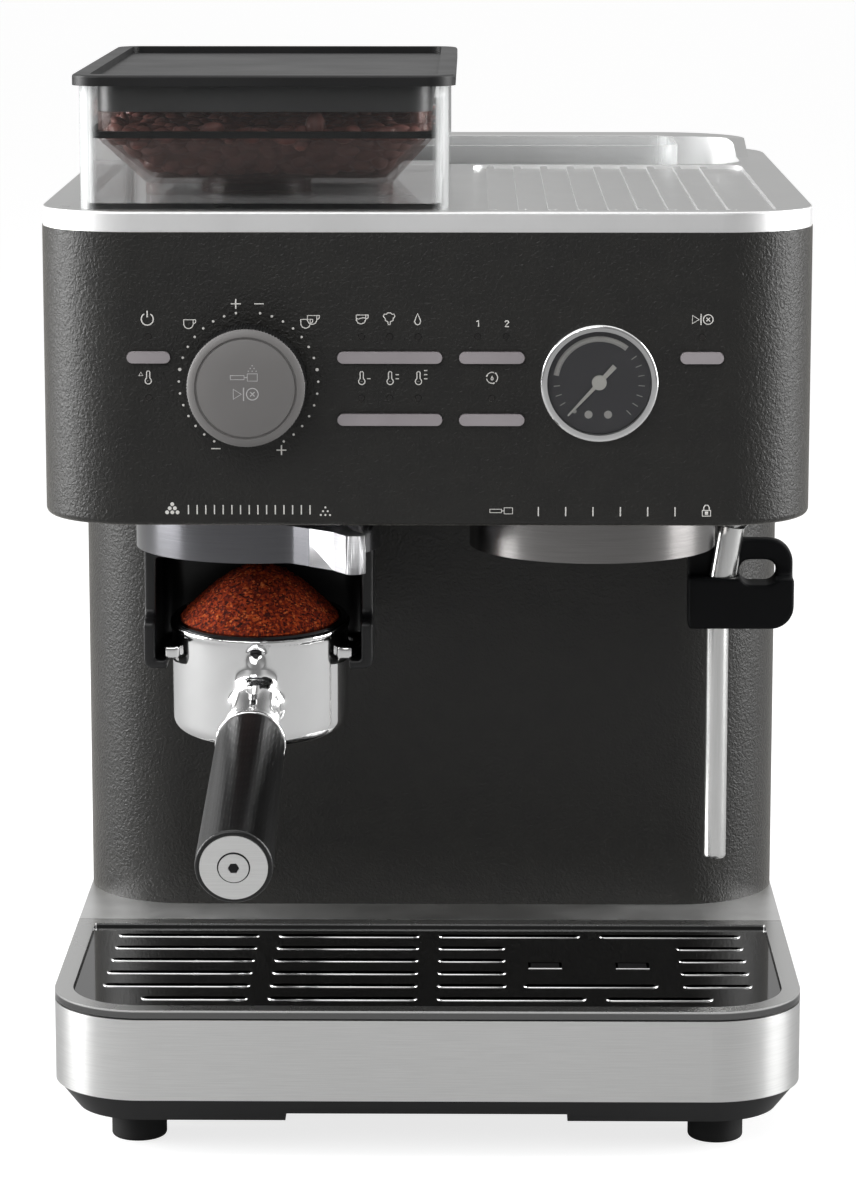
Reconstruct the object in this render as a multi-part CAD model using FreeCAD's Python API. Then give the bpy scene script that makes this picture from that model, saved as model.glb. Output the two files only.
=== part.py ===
"""Bench-top espresso machine with a built-in conical burr grinder.

Lengths are millimetres. While modelling, X is to the right, Y runs back from the front
plane of the head, and Z is up from the surface the machine stands on. At the end every
piece is shifted along Y so that the origin lies under the middle of the whole machine.
"""
import FreeCAD, Part
import math
import os
from FreeCAD import Vector

# Overall body
body_width = 284.0
body_depth = 330.0
front_corner_radius = 0.123239 * body_width
rear_corner_radius = 40.0
column_corner_radius = 42.0
column_setback = 159.0
tray_depth = 134.0

# Heights, stacked from the floor
foot_height = 13.6
base_height = 8.4
tray_band_height = 32.0
grille_height = 3.3
column_height = 183.4
head_height = 107.3
top_plate_height = 7.5
hopper_height = 44.5
lid_height = 4.0

# Walls and sheets
shell_wall = 3.0
deck_wall = 2.0
floor_plate = 3.0
band_wall = 1.5
band_seam = 0.5
pan_wall = 2.0
tank_wall = 2.5
bin_wall = 2.5
bowl_wall = 2.0

# Clearances
running_clearance = 0.05
loose_clearance = 0.3
seat_clearance = 0.15
press_clearance = 0.25

# Base and feet
foot_radius = 10.5
foot_edge = 1.5
foot_x = 0.387324 * body_width
foot_inset_y = 30.0
base_inset = 0.8
base_side_taper = 9.0
base_end_taper = 4.0
base_floor = 5.0
base_rim = 12.0
finger_recess_width = 0.373239 * body_width
finger_recess_depth = 16.0
finger_recess_height = 3.0

# Drip grille
grille_rim = 7.0
grille_recess = 1.5
slot_length = 0.197183 * body_width
slot_width = 5.0
slot_gap = 0.028169 * body_width
slot_columns = 4
slot_rows = 6
slot_row_pitch = 18.3
first_row_y = 22.4
front_row_slot_length = 0.140845 * body_width
side_slot_length = 0.091549 * body_width
float_x = 0.220070 * body_width
float_y = 70.0
float_spacing = 0.119718 * body_width
float_hole_width = 13.0
float_hole_depth = 9.0
float_post_gap = 1.0
float_body_height = 11.5
float_body_margin = 4.5
long_slot_length = 0.179577 * body_width

# Back panel
panel_half_width = 0.323944 * body_width
panel_low_margin = 18.0
panel_high_margin = 13.0
vent_count = 7
vent_length = 60.0
vent_width = 4.0
vent_pitch = 9.0

# Head edge and top plate
head_edge_radius = 2.5
plate_inset = 0.3
plate_edge_radius = 1.0
plate_lip = 4.0
plate_skin = 3.5
cup_x0 = 0.059859 * body_width
cup_x1 = 0.447183 * body_width
cup_y0 = 8.0
cup_y1 = 218.0
cup_depth = 1.5
cup_radius = 6.0
rib_count = 9
rib_pitch = 0.038380 * body_width
rib_width = 3.0
rib_height = 1.2
rib_first_x = 0.084507 * body_width
rib_end_margin = 4.0
well_half_width = 0.450704 * body_width
well_y0 = 223.0
well_y1 = 300.0
well_radius = 20.0
well_wall = 1.5
well_depth = 14.5
rear_rim_width = 5.0
rear_rim_height = 6.0
rear_rim_y0 = 262.0
rear_rim_ramp = 28.0
rear_rim_margin = 3.0

# Water tank
tank_half_width = 0.359155 * body_width
tank_y0 = 228.0
tank_y1 = 290.0
tank_radius = 12.0
tank_proud = 7.2
tank_clearance = 0.8

# Control panel, heights from the floor
knob_x = -0.227113 * body_width
knob_z = 293.8
knob_radius = 21.5
knob_reach = 20.0
knob_gap = 2.6
knob_wall = 3.5
knob_hub_radius = 6.0
cap_radius = 20.4
cap_thickness = 2.0
plunger_radius = 3.0
plunger_collar_radius = 5.5
plunger_collar = 1.4
plunger_hole_radius = 7.0
knob_travel = 2.0
right_axis_x = 0.221127 * body_width
gauge_z = 293.5
bezel_radius = 21.5
bezel_sleeve = 1.4
dial_radius = 18.8
bezel_reach = 3.0
bezel_edge = 1.2
dial_setback = 1.4
case_depth = 20.0
lens_thickness = 1.0
lens_setback = 0.8
needle_length = 16.6
needle_tail = 8.2
needle_width = 1.9
needle_tip_width = 0.6
needle_thickness = 0.8
needle_hub_radius = 2.7
needle_hub_height = 1.6
needle_pin_radius = 0.8
needle_pin_length = 6.0
needle_rest_deg = 43.0
button_height = 4.2
button_proud = 1.8
button_travel = 1.2
button_flange = 1.0
wide_button = 0.133803 * body_width
middle_button = 0.083451 * body_width
small_button = 0.055282 * body_width
upper_button_z = 302.7
lower_button_z = 280.0
left_button_x = -0.354577 * body_width
program_x = -0.046479 * body_width
shots_x = 0.083803 * body_width
start_x = 0.351761 * body_width
upper_light_z = 310.2
lower_light_z = 287.8
light_radius = 1.1
light_pitch = 0.036268 * body_width
light_length = 5.0
board_y = 12.0
board_thickness = 1.6
board_half_width = 0.380282 * body_width
board_margin_z = 12.0
board_post_radius = 3.0
board_post_inset = 6.0
switch_size = 5.0
encoder_size = 14.0
encoder_length = 7.0

# Grinder, on a vertical axis under the hopper
grinder_x = knob_x
grinder_y = 70.0
adjust_ring_radius = 47.0
adjust_ring_height = 17.7
adjust_ring_wall = 4.0
adjust_ring_floor = 4.0
adjust_ring_bore = 24.0
lever_deg = 30.0
lever_reach = 80.0
lever_height = 14.0
lever_root_width = 24.0
lever_end_width = 8.0
lever_tip = 3.4
lever_root_curve = 5.0
carrier_post_thickness = 4.8
carrier_post_width = 9.0
carrier_post_angles = (60.0, -40.0)
carrier_flange = 6.0
carrier_wall = 4.0
outer_burr_radius = 24.0
outer_burr_height = 20.0
burr_mouth_radius = 18.0
inner_burr_radius = 20.0
inner_burr_top_radius = 11.0
inner_burr_height = 28.0
burr_gap = 0.6
burr_flutes = 8
flute_width = 2.4
flute_depth = 2.0
flute_lean_deg = 25.0
burr_shaft_radius = 4.0
gear_module = 2.0
drive_teeth = 30
motor_teeth = 26
gear_thickness = 8.0
gear_backlash = 0.45
pressure_angle_deg = 20.0
web_holes = 6
web_hole_radius = 6.5
web_hole_circle = 17.0
gear_gap = 2.0
burr_to_gear = 4.0
bearing_radius = 8.0
bearing_length = 8.0
bearing_boss_wall = 3.0
spider_arms = 3
spider_width = 5.0
funnel_top_radius = 36.0
funnel_wall = 2.0
funnel_height = 36.0
chute_radius = 20.0
bracket_thickness = 6.0
bracket_half_width = 24.0
bracket_corner = 2.0
motor_radius = 20.0
motor_height = 48.3
motor_shaft_radius = 3.0
motor_shaft_depth = 12.0

# Portafilter and the cradle that holds it under the outlet
cradle_half_width = 43.5
cradle_front = 17.0
cradle_back = 42.0
cradle_plate = 4.0
cradle_depth = 45.5
cradle_wall = 4.3
cradle_ledge_height = 3.2
cradle_radius = 12.0
cradle_edge = 3.0
cradle_notch = 14.0
fork_height = 19.0
arm_setback = 7.0
fork_curve = 3.2
bowl_radius = 33.75
bowl_cup_wall = 1.8
bowl_cup_floor = 6.0
bowl_cup_height = 43.0
bowl_edge = 5.0
lug_reach = 4.85
lug_width = 14.0
lug_height = 4.5
lug_drop = 9.0
lug_lead = 8.0
lip_height = 2.2
lip_proud = 0.7
outlet_radius = 4.0
basket_wall = 0.6
basket_height = 27.0
basket_rim_width = 1.5
basket_rim_height = 1.0
mound_height = 21.0
heap_profile = ((0.93, 0.12), (0.76, 0.37), (0.57, 0.62), (0.36, 0.84), (0.16, 0.97), (0.0, 1.0))
portafilter_tilt_deg = 4.5
handle_slope_deg = 4.73
handle_start_y = -8.51
handle_start_drop = 27.39
handle_length = 113.5
handle_root_radius = 12.65
handle_end_radius = 13.5
handle_edge = 1.2
neck_length = 48.0
neck_radius = 8.8
neck_blend = 5.0
neck_ring_length = 1.8
neck_ring_proud = 0.5
neck_flute_radius = 6.0
neck_flute_x = 13.0
neck_flute_rise = 5.0
neck_flute_start = 18.0
neck_boss_radius = 3.6
neck_boss_drop = 10.0
neck_boss_length = 12.0
neck_boss_sink = 1.2
clip_slot_width = 4.6
clip_slot_height = 1.9
clip_slot_drop = 4.1
clip_slot_depth = 1.6
end_cap_radius = 11.75
end_cap_thickness = 3.2
end_cap_proud = 0.4
cap_boss_radius = 5.2
cap_boss_height = 0.5
hex_radius = 2.0
hex_depth = 2.0

# Brew group
group_y = 75.0
collar_radius = 47.0
collar_wall = 7.0
collar_height = 18.7
collar_lip = 3.0
collar_lip_radius = 35.5
group_flange_radius = 46.0
group_flange_height = 6.0
group_body_drop = 6.7
group_boss_radius = 25.0
group_boss_height = 20.0
screen_radius = 29.0
screen_thickness = 2.5
boiler_half_width = 38.0
boiler_y0 = 124.0
boiler_y1 = 163.0
boiler_height = 52.0
boiler_fins = 5
fin_gap = 4.0
fin_depth = 8.0

# Pump and mains inlet
pump_x0 = -0.440141 * body_width
pump_x1 = -0.123239 * body_width
pump_y = 190.0
pump_radius = 20.0
pump_foot_height = 16.0
pump_opening_margin = 5.0
inlet_x = 0.281690 * body_width
inlet_height = 18.0
inlet_radius = 6.0
inlet_flange = 3.0
inlet_flange_length = 6.0
inlet_bore_radius = 3.5

# Hopper
hopper_x0 = -0.443662 * body_width
hopper_x1 = 0.028169 * body_width
hopper_y0 = 8.0
hopper_y1 = 218.0
hopper_radius = 8.0
bin_floor = 2.0
bowl_gap = 3.5
bowl_radius_plan = 10.0
bowl_rim_drop = 10.0
bowl_band_height = 10.0
bowl_slope_height = 16.0
bowl_side_slope = 15.0
bowl_end_slope = 28.0
throat_radius = 20.5
throat_reach = 12.5
throat_hole_gap = 3.5
seal_height = 2.3
seal_rise = 1.0
bean_headroom = 5.0
lid_overhang = 2.5
lid_rim = 6.5
lid_recess = 2.6
lid_edge = 1.0
plug_wall = 2.0

# Steam wand
steam_x = 0.416901 * body_width
steam_y = 100.0
ball_radius = 7.0
ball_drop = 11.7
socket_radius = 8.8
socket_cover = 2.5
spindle_radius = 5.0
spindle_nut_radius = 8.0
spindle_nut_height = 4.0
upper_tube_radius = 5.25
wand_radius = 4.5
wand_offset = 5.8
wand_x = steam_x - wand_offset
elbow_drop = 37.0
wand_seam_z = 122.6
wand_tip_z = 92.0
tip_edge = 1.5
tip_hole_radius = 1.0
tip_hole_depth = 10.0
grip_left = 17.4
grip_x0 = steam_x - grip_left
grip_right = 23.6
grip_x1 = steam_x + grip_right
grip_z0 = 185.0
grip_z1 = 219.0
grip_thickness = 16.0
grip_radius = 9.0
grip_sleeve_height = 20.0
grip_loop_front = 1.0
finger_hole_length = 14.6
finger_hole_height = 8.6
finger_hole_offset = 9.9
finger_hole_x = steam_x + finger_hole_offset
finger_hole_z = 206.7

# Levels worked out from the stack
half_width = body_width / 2
base_z = foot_height
tray_z = base_z + base_height
grille_z = tray_z + tray_band_height
deck_z = grille_z + grille_height
head_z = deck_z + column_height
floor_top_z = head_z + floor_plate
plate_z = head_z + head_height
plate_top_z = plate_z + top_plate_height
lid_z = plate_top_z + hopper_height
deck_y = tray_depth + loose_clearance
ring_top_z = head_z - loose_clearance
ring_z = ring_top_z - adjust_ring_height
ring_pocket_radius = adjust_ring_radius - adjust_ring_wall
cradle_top_z = ring_z - loose_clearance
cradle_plate_z = cradle_top_z - cradle_plate
cradle_z = cradle_top_z - cradle_depth
ledge_z = cradle_z + cradle_ledge_height
lug_z = ledge_z + loose_clearance
cup_rim_z = lug_z + lug_height + lug_drop
cup_z = cup_rim_z - bowl_cup_height
bracket_z = floor_top_z + motor_height
gear_z = bracket_z + bracket_thickness + gear_gap
gear_top_z = gear_z + gear_thickness
burr_z = gear_top_z + burr_to_gear
bearing_z = bracket_z - bearing_length
motor_y = grinder_y + gear_module * (drive_teeth + motor_teeth) / 2
ball_z = head_z - ball_drop
elbow_z = ball_z - elbow_drop
tank_z = deck_z + loose_clearance
tank_top_z = plate_top_z + tank_proud

# Every push button: centre X, centre Z, width
buttons = {
    "power_button": (left_button_x, upper_button_z, small_button),
    "program_button": (program_x, upper_button_z, wide_button),
    "temperature_button": (program_x, lower_button_z, wide_button),
    "shots_button": (shots_x, upper_button_z, middle_button),
    "clean_button": (shots_x, lower_button_z, middle_button),
    "start_button": (start_x, upper_button_z, small_button),
}


def light_places():
    """Centres of the indicator lights: one or more over each button."""
    places = [(left_button_x, upper_light_z), (left_button_x, lower_light_z)]
    for step in (-1, 0, 1):
        places.append((program_x + step * light_pitch, upper_light_z))
        places.append((program_x + step * light_pitch, lower_light_z))
    for side in (-0.5, 0.5):
        places.append((shots_x + side * light_pitch, upper_light_z))
    places.append((shots_x, lower_light_z))
    places.append((start_x, upper_light_z))
    return places


# Shape helpers
def box(x0, x1, y0, y1, z0, z1):
    return Part.makeBox(x1 - x0, y1 - y0, z1 - z0, Vector(x0, y0, z0))


def rod_z(radius, z0, z1, x, y):
    return Part.makeCylinder(radius, z1 - z0, Vector(x, y, z0))


def rod_y(radius, y0, y1, x, z):
    return Part.makeCylinder(radius, y1 - y0, Vector(x, y0, z), Vector(0, 1, 0))


def cone_z(low_radius, high_radius, z0, z1, x, y):
    return Part.makeCone(low_radius, high_radius, z1 - z0, Vector(x, y, z0))


def fuse(first, *others):
    return first.fuse(list(others)).removeSplitter()


def cut(first, *tools):
    return first.cut(list(tools))


def plan_wire(x0, x1, y0, y1, front_radius, rear_radius, z):
    """Rectangle in plan with rounded front and rear corners; a radius of 0 is square."""
    corners = [Vector(x0, y0, z), Vector(x1, y0, z), Vector(x1, y1, z), Vector(x0, y1, z)]
    radii = [front_radius, front_radius, rear_radius, rear_radius]
    turns = []
    for index, corner in enumerate(corners):
        radius = radii[index]
        before = (corners[index - 1] - corner).normalize()
        after = (corners[(index + 1) % 4] - corner).normalize()
        middle = corner + (before + after) * radius * (1 - math.sqrt(0.5))
        turns.append((corner + before * radius, middle, corner + after * radius))
    edges = []
    for index, (enter, middle, leave) in enumerate(turns):
        if radii[index] > 0:
            edges.append(Part.Arc(enter, middle, leave).toShape())
        edges.append(Part.LineSegment(leave, turns[(index + 1) % 4][0]).toShape())
    return Part.Wire(edges)


def plan_block(x0, x1, y0, y1, z0, z1, front_radius, rear_radius=None):
    rear = front_radius if rear_radius is None else rear_radius
    face = Part.Face(plan_wire(x0, x1, y0, y1, front_radius, rear, z0))
    return face.extrude(Vector(0, 0, z1 - z0))


def stadium(length, width, centre, wide_direction, sweep):
    """Pill-shaped prism whose long side lies along X."""
    along = Vector(1, 0, 0)
    right = centre + along * (length - width) / 2
    left = centre - along * (length - width) / 2
    half = wide_direction * (width / 2)
    end = along * (width / 2)
    wire = Part.Wire([
        Part.LineSegment(left - half, right - half).toShape(),
        Part.Arc(right - half, right + end, right + half).toShape(),
        Part.LineSegment(right + half, left + half).toShape(),
        Part.Arc(left + half, left - end, left - half).toShape(),
    ])
    return Part.Face(wire).extrude(sweep)


def pill_y(length, height, y0, y1, x, z):
    return stadium(length, height, Vector(x, y0, z), Vector(0, 0, 1), Vector(0, y1 - y0, 0))


def slot_z(x0, x1, width, z0, z1, y):
    centre = Vector((x0 + x1) / 2, y, z0)
    return stadium(x1 - x0, width, centre, Vector(0, 1, 0), Vector(0, 0, z1 - z0))


def edges_at_z(shape, z):
    return [edge for edge in shape.Edges
            if abs(edge.BoundBox.ZMin - z) < 1e-4 and abs(edge.BoundBox.ZMax - z) < 1e-4]


def edges_at_y(shape, y):
    return [edge for edge in shape.Edges
            if abs(edge.BoundBox.YMin - y) < 1e-4 and abs(edge.BoundBox.YMax - y) < 1e-4]


def upright_edges(shape):
    return [edge for edge in shape.Edges if edge.BoundBox.ZLength > 1e-3
            and edge.BoundBox.XLength < 1e-4 and edge.BoundBox.YLength < 1e-4]


def turn_z(shape, angle_deg, x, y):
    turned = shape.copy()
    turned.rotate(Vector(x, y, 0), Vector(0, 0, 1), angle_deg)
    return turned


# Base, column and head
def base_pan():
    lower = plan_wire(-half_width + base_side_taper, half_width - base_side_taper, base_end_taper,
                      body_depth - base_end_taper, front_corner_radius - base_side_taper,
                      rear_corner_radius - base_side_taper, base_z)
    upper = plan_wire(-half_width + base_inset, half_width - base_inset, base_inset,
                      body_depth - base_inset, front_corner_radius - base_inset,
                      rear_corner_radius - base_inset, tray_z)
    pan = Part.makeLoft([lower, upper], True, True)
    well = box(-half_width + base_rim, half_width - base_rim, deck_y + base_rim,
               body_depth - base_rim, base_z + base_floor, tray_z)
    recess = box(-finger_recess_width / 2, finger_recess_width / 2, 0, finger_recess_depth,
                 base_z, base_z + finger_recess_height)
    return cut(pan, well, recess)


def feet():
    solids = []
    for x in (-foot_x, foot_x):
        for y in (foot_inset_y, body_depth - foot_inset_y):
            foot = rod_z(foot_radius, 0, foot_height, x, y)
            solids.append(foot.makeFillet(foot_edge, edges_at_z(foot, 0)))
    return Part.makeCompound(solids)


def base_deck():
    outer = plan_block(-half_width, half_width, deck_y, body_depth, tray_z, deck_z, 0,
                       rear_corner_radius)
    inner = plan_block(-half_width + deck_wall, half_width - deck_wall, deck_y + deck_wall,
                       body_depth - deck_wall, tray_z, deck_z - deck_wall, 0,
                       rear_corner_radius - deck_wall)
    pump_opening = box(pump_x0 - pump_opening_margin, pump_x1 + pump_opening_margin,
                       pump_y - pump_radius - pump_opening_margin,
                       pump_y + pump_radius + pump_opening_margin, tray_z, deck_z)
    under_column = plan_block(-half_width + shell_wall, half_width - shell_wall,
                              column_setback + shell_wall, body_depth - shell_wall, tray_z, deck_z,
                              column_corner_radius - shell_wall, rear_corner_radius - shell_wall)
    pump_opening = pump_opening.common(under_column)
    inlet_hole = rod_y(inlet_radius + seat_clearance, body_depth - rear_corner_radius, body_depth,
                       inlet_x, tray_z + inlet_height)
    return cut(outer, inner, pump_opening, inlet_hole)


def panel_window(margin):
    return box(-panel_half_width - margin, panel_half_width + margin, body_depth - shell_wall,
               body_depth, deck_z + panel_low_margin - margin, plate_z - panel_high_margin + margin)


def back_panel():
    panel = panel_window(0)
    top_z = plate_z - panel_high_margin - vent_pitch
    vents = []
    for row in range(vent_count):
        for side in (-1, 1):
            vents.append(pill_y(vent_length, vent_width, body_depth - shell_wall, body_depth,
                                side * panel_half_width / 2, top_z - row * vent_pitch))
    return cut(panel, *vents)


def column_shell():
    outer = plan_block(-half_width, half_width, column_setback, body_depth, deck_z, head_z,
                       column_corner_radius, rear_corner_radius)
    inner = plan_block(-half_width + shell_wall, half_width - shell_wall,
                       column_setback + shell_wall, body_depth - shell_wall, deck_z, head_z,
                       column_corner_radius - shell_wall, rear_corner_radius - shell_wall)
    return cut(outer, inner, panel_window(seat_clearance))


def head_shell():
    outer = plan_block(-half_width, half_width, 0, body_depth, head_z, plate_z,
                       front_corner_radius, rear_corner_radius)
    outer = outer.makeFillet(head_edge_radius, edges_at_z(outer, head_z))
    inner = plan_block(-half_width + shell_wall, half_width - shell_wall, shell_wall,
                       body_depth - shell_wall, head_z, plate_z,
                       front_corner_radius - shell_wall, rear_corner_radius - shell_wall)
    holes = [rod_y(plunger_hole_radius, 0, shell_wall, knob_x, knob_z)]
    holes.append(rod_y(dial_radius + bezel_sleeve + seat_clearance, 0, shell_wall,
                       right_axis_x, gauge_z))
    for x, z, width in buttons.values():
        holes.append(pill_y(width + 2 * press_clearance, button_height + 2 * press_clearance,
                            0, 2 * shell_wall, x, z))
    for x, z in light_places():
        holes.append(rod_y(light_radius + seat_clearance, 0, 2 * shell_wall, x, z))
    return cut(outer, inner, panel_window(seat_clearance), *holes)


def head_floor():
    gap = shell_wall + seat_clearance
    plate = plan_block(-half_width + gap, half_width - gap, gap, column_setback + 2 * shell_wall,
                       head_z, floor_top_z, front_corner_radius - gap, 0)
    carrier_hole = rod_z(ring_pocket_radius + loose_clearance, head_z, floor_top_z,
                         grinder_x, grinder_y)
    group_hole = rod_z(collar_radius - collar_wall + seat_clearance, head_z, floor_top_z,
                       right_axis_x, group_y)
    steam_hole = rod_z(spindle_radius + running_clearance, head_z, floor_top_z, steam_x, steam_y)
    return cut(plate, carrier_hole, group_hole, steam_hole)


def cup_ribs():
    ribs = []
    for index in range(rib_count):
        x = rib_first_x + index * rib_pitch
        ribs.append(slot_rib(x))
    return ribs


def slot_rib(x):
    return plan_block(x - rib_width / 2, x + rib_width / 2, cup_y0 + rib_end_margin,
                      cup_y1 - rib_end_margin, plate_top_z - cup_depth,
                      plate_top_z - cup_depth + rib_height, rib_width / 2 - loose_clearance)


def rear_rim():
    """Raised lip behind the filler well, ramping down along the well's ends."""
    x = well_half_width + rear_rim_width
    lip = plan_block(-x, x, rear_rim_y0, body_depth - rear_rim_margin, plate_top_z,
                     plate_top_z + rear_rim_height, 0, rear_corner_radius - rear_rim_margin)
    ramp = Part.Face(Part.makePolygon([
        Vector(-x, rear_rim_y0, plate_top_z), Vector(-x, rear_rim_y0 + rear_rim_ramp,
                                                     plate_top_z + rear_rim_height),
        Vector(-x, rear_rim_y0, plate_top_z + rear_rim_height), Vector(-x, rear_rim_y0, plate_top_z),
    ])).extrude(Vector(2 * x, 0, 0))
    return cut(lip, ramp)


def top_plate():
    plate = plan_block(-half_width + plate_inset, half_width - plate_inset, plate_inset,
                       body_depth - plate_inset, plate_z, plate_top_z,
                       front_corner_radius - plate_inset, rear_corner_radius - plate_inset)
    plate = plate.makeFillet(plate_edge_radius, edges_at_z(plate, plate_top_z))
    plate = fuse(plate, rear_rim())
    under = plan_block(-half_width + plate_lip, half_width - plate_lip, plate_lip,
                       body_depth - plate_lip, plate_z, plate_top_z - plate_skin,
                       front_corner_radius - plate_lip, rear_corner_radius - plate_lip)
    cup = plan_block(cup_x0, cup_x1, cup_y0, cup_y1, plate_top_z - cup_depth, plate_top_z,
                     cup_radius)
    throat_hole = rod_z(throat_radius + throat_hole_gap, plate_z, plate_top_z, grinder_x, grinder_y)
    plate = cut(plate, under, cup, throat_hole)
    plate = fuse(plate, *cup_ribs())
    well_floor_z = plate_top_z - well_depth
    tub = plan_block(-well_half_width - well_wall, well_half_width + well_wall,
                     well_y0 - well_wall, well_y1 + well_wall, well_floor_z - well_wall,
                     plate_top_z, well_radius + well_wall)
    hollow = plan_block(-well_half_width, well_half_width, well_y0, well_y1, well_floor_z,
                        plate_top_z + rear_rim_height, well_radius)
    tank_hole = plan_block(-tank_half_width - tank_clearance, tank_half_width + tank_clearance,
                           tank_y0 - tank_clearance, tank_y1 + tank_clearance,
                           well_floor_z - well_wall, well_floor_z, tank_radius + tank_clearance)
    return cut(fuse(plate, tub), hollow, tank_hole)


# Control panel
def control_board():
    low_z = floor_top_z + board_margin_z
    high_z = plate_z - board_margin_z
    rear_y = board_y + board_thickness
    board = box(-board_half_width, board_half_width, board_y, rear_y, low_z, high_z)
    posts = []
    for x in (-board_half_width + board_post_inset, board_half_width - board_post_inset):
        for z in (low_z + board_post_inset, high_z - board_post_inset):
            posts.append(rod_y(board_post_radius, shell_wall, board_y, x, z))
    case_hole = rod_y(dial_radius + bezel_sleeve, board_y, rear_y, right_axis_x, gauge_z)
    plunger_hole = rod_y(plunger_radius + loose_clearance, board_y, rear_y, knob_x, knob_z)
    board = cut(fuse(board, *posts), case_hole, plunger_hole)
    half = encoder_size / 2
    encoder = box(knob_x - half, knob_x + half, board_y - encoder_length, board_y,
                  knob_z - half, knob_z + half)
    encoder = cut(encoder, rod_y(plunger_radius + running_clearance, board_y - encoder_length,
                                 board_y, knob_x, knob_z))
    solids = [board, encoder]
    switch_y = shell_wall + seat_clearance + button_flange + button_travel + loose_clearance
    for x, z, width in buttons.values():
        solids.append(box(x - switch_size / 2, x + switch_size / 2, switch_y, board_y,
                          z - switch_size / 2, z + switch_size / 2))
    return Part.makeCompound(solids)


def led_lenses():
    return Part.makeCompound([rod_y(light_radius, 0, light_length, x, z)
                              for x, z in light_places()])


def push_button(x, z, width):
    """Pill-shaped cap through the fascia with a retaining flange behind it."""
    flange_y = shell_wall + seat_clearance
    cap = pill_y(width, button_height, -button_proud, flange_y, x, z)
    flange = pill_y(width + 2 * button_flange, button_height + 2 * button_flange, flange_y,
                    flange_y + button_flange, x, z)
    return fuse(cap, flange)


def knob_plunger():
    hub_y = -knob_reach + cap_thickness + knob_wall
    stem = rod_y(plunger_radius, hub_y, board_y - loose_clearance - knob_travel, knob_x, knob_z)
    collar_y = -knob_gap - plunger_collar
    collar = rod_y(plunger_collar_radius, collar_y, collar_y + plunger_collar, knob_x, knob_z)
    return fuse(stem, collar)


def dose_knob():
    back_y = -knob_gap
    web_y = -knob_reach + cap_thickness
    body = rod_y(knob_radius, -knob_reach, back_y, knob_x, knob_z)
    seat = rod_y(cap_radius + seat_clearance, -knob_reach, web_y, knob_x, knob_z)
    hollow = rod_y(knob_radius - knob_wall, web_y + knob_wall, back_y, knob_x, knob_z)
    hub_end = back_y - plunger_collar - seat_clearance
    hub = rod_y(knob_hub_radius, web_y, hub_end, knob_x, knob_z)
    bore = rod_y(plunger_radius + running_clearance, web_y + knob_wall - seat_clearance, hub_end,
                 knob_x, knob_z)
    return cut(fuse(cut(body, seat, hollow), hub), bore)


def knob_cap():
    return rod_y(cap_radius, -knob_reach, -knob_reach + cap_thickness, knob_x, knob_z)


def gauge_bezel():
    sleeve_radius = dial_radius + bezel_sleeve
    flange = rod_y(bezel_radius, -bezel_reach, 0, right_axis_x, gauge_z)
    flange = flange.makeFillet(bezel_edge, edges_at_y(flange, -bezel_reach))
    sleeve = rod_y(sleeve_radius, 0, shell_wall * 2, right_axis_x, gauge_z)
    bore = rod_y(dial_radius + seat_clearance, -bezel_reach, shell_wall * 2, right_axis_x, gauge_z)
    return cut(fuse(flange, sleeve), bore)


def gauge_dial():
    case = rod_y(dial_radius, dial_setback, dial_setback + case_depth, right_axis_x, gauge_z)
    pin_hole = rod_y(needle_pin_radius + running_clearance, dial_setback,
                     dial_setback + needle_pin_length + loose_clearance, right_axis_x, gauge_z)
    return cut(case, pin_hole)


def gauge_lens():
    y = -bezel_reach + lens_setback
    return rod_y(dial_radius, y, y + lens_thickness, right_axis_x, gauge_z)


def gauge_needle():
    hub_y = dial_setback - seat_clearance - needle_hub_height
    blade_y = hub_y + (needle_hub_height - needle_thickness) / 2
    outline = Part.makePolygon([
        Vector(right_axis_x - needle_width / 2, blade_y, gauge_z + needle_tail),
        Vector(right_axis_x + needle_width / 2, blade_y, gauge_z + needle_tail),
        Vector(right_axis_x + needle_tip_width / 2, blade_y, gauge_z - needle_length),
        Vector(right_axis_x - needle_tip_width / 2, blade_y, gauge_z - needle_length),
        Vector(right_axis_x - needle_width / 2, blade_y, gauge_z + needle_tail),
    ])
    blade = Part.Face(outline).extrude(Vector(0, needle_thickness, 0))
    blade.rotate(Vector(right_axis_x, 0, gauge_z), Vector(0, 1, 0), needle_rest_deg)
    hub = rod_y(needle_hub_radius, hub_y, hub_y + needle_hub_height, right_axis_x, gauge_z)
    pin = rod_y(needle_pin_radius, hub_y, hub_y + needle_hub_height + needle_pin_length,
                right_axis_x, gauge_z)
    return fuse(blade, hub, pin)


# Grinder
def adjust_lever():
    half_root = lever_root_width / 2
    half_end = lever_end_width / 2
    root = adjust_ring_radius - adjust_ring_wall
    shoulder = (root + lever_reach * 2) / 3
    points = [(root, -half_root), (shoulder, -half_end), (lever_reach, -half_end),
              (lever_reach, half_end), (shoulder, half_end), (root, half_root)]
    corners = [Vector(grinder_x + side, grinder_y - out, ring_z) for out, side in points]
    lever = Part.Face(Part.makePolygon(corners + corners[:1])).extrude(Vector(0, 0, lever_height))
    tips = [edge for edge in upright_edges(lever)
            if abs(edge.BoundBox.YMin - (grinder_y - lever_reach)) < 1e-4]
    return turn_z(lever.makeFillet(lever_tip, tips), lever_deg, grinder_x, grinder_y)


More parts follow.
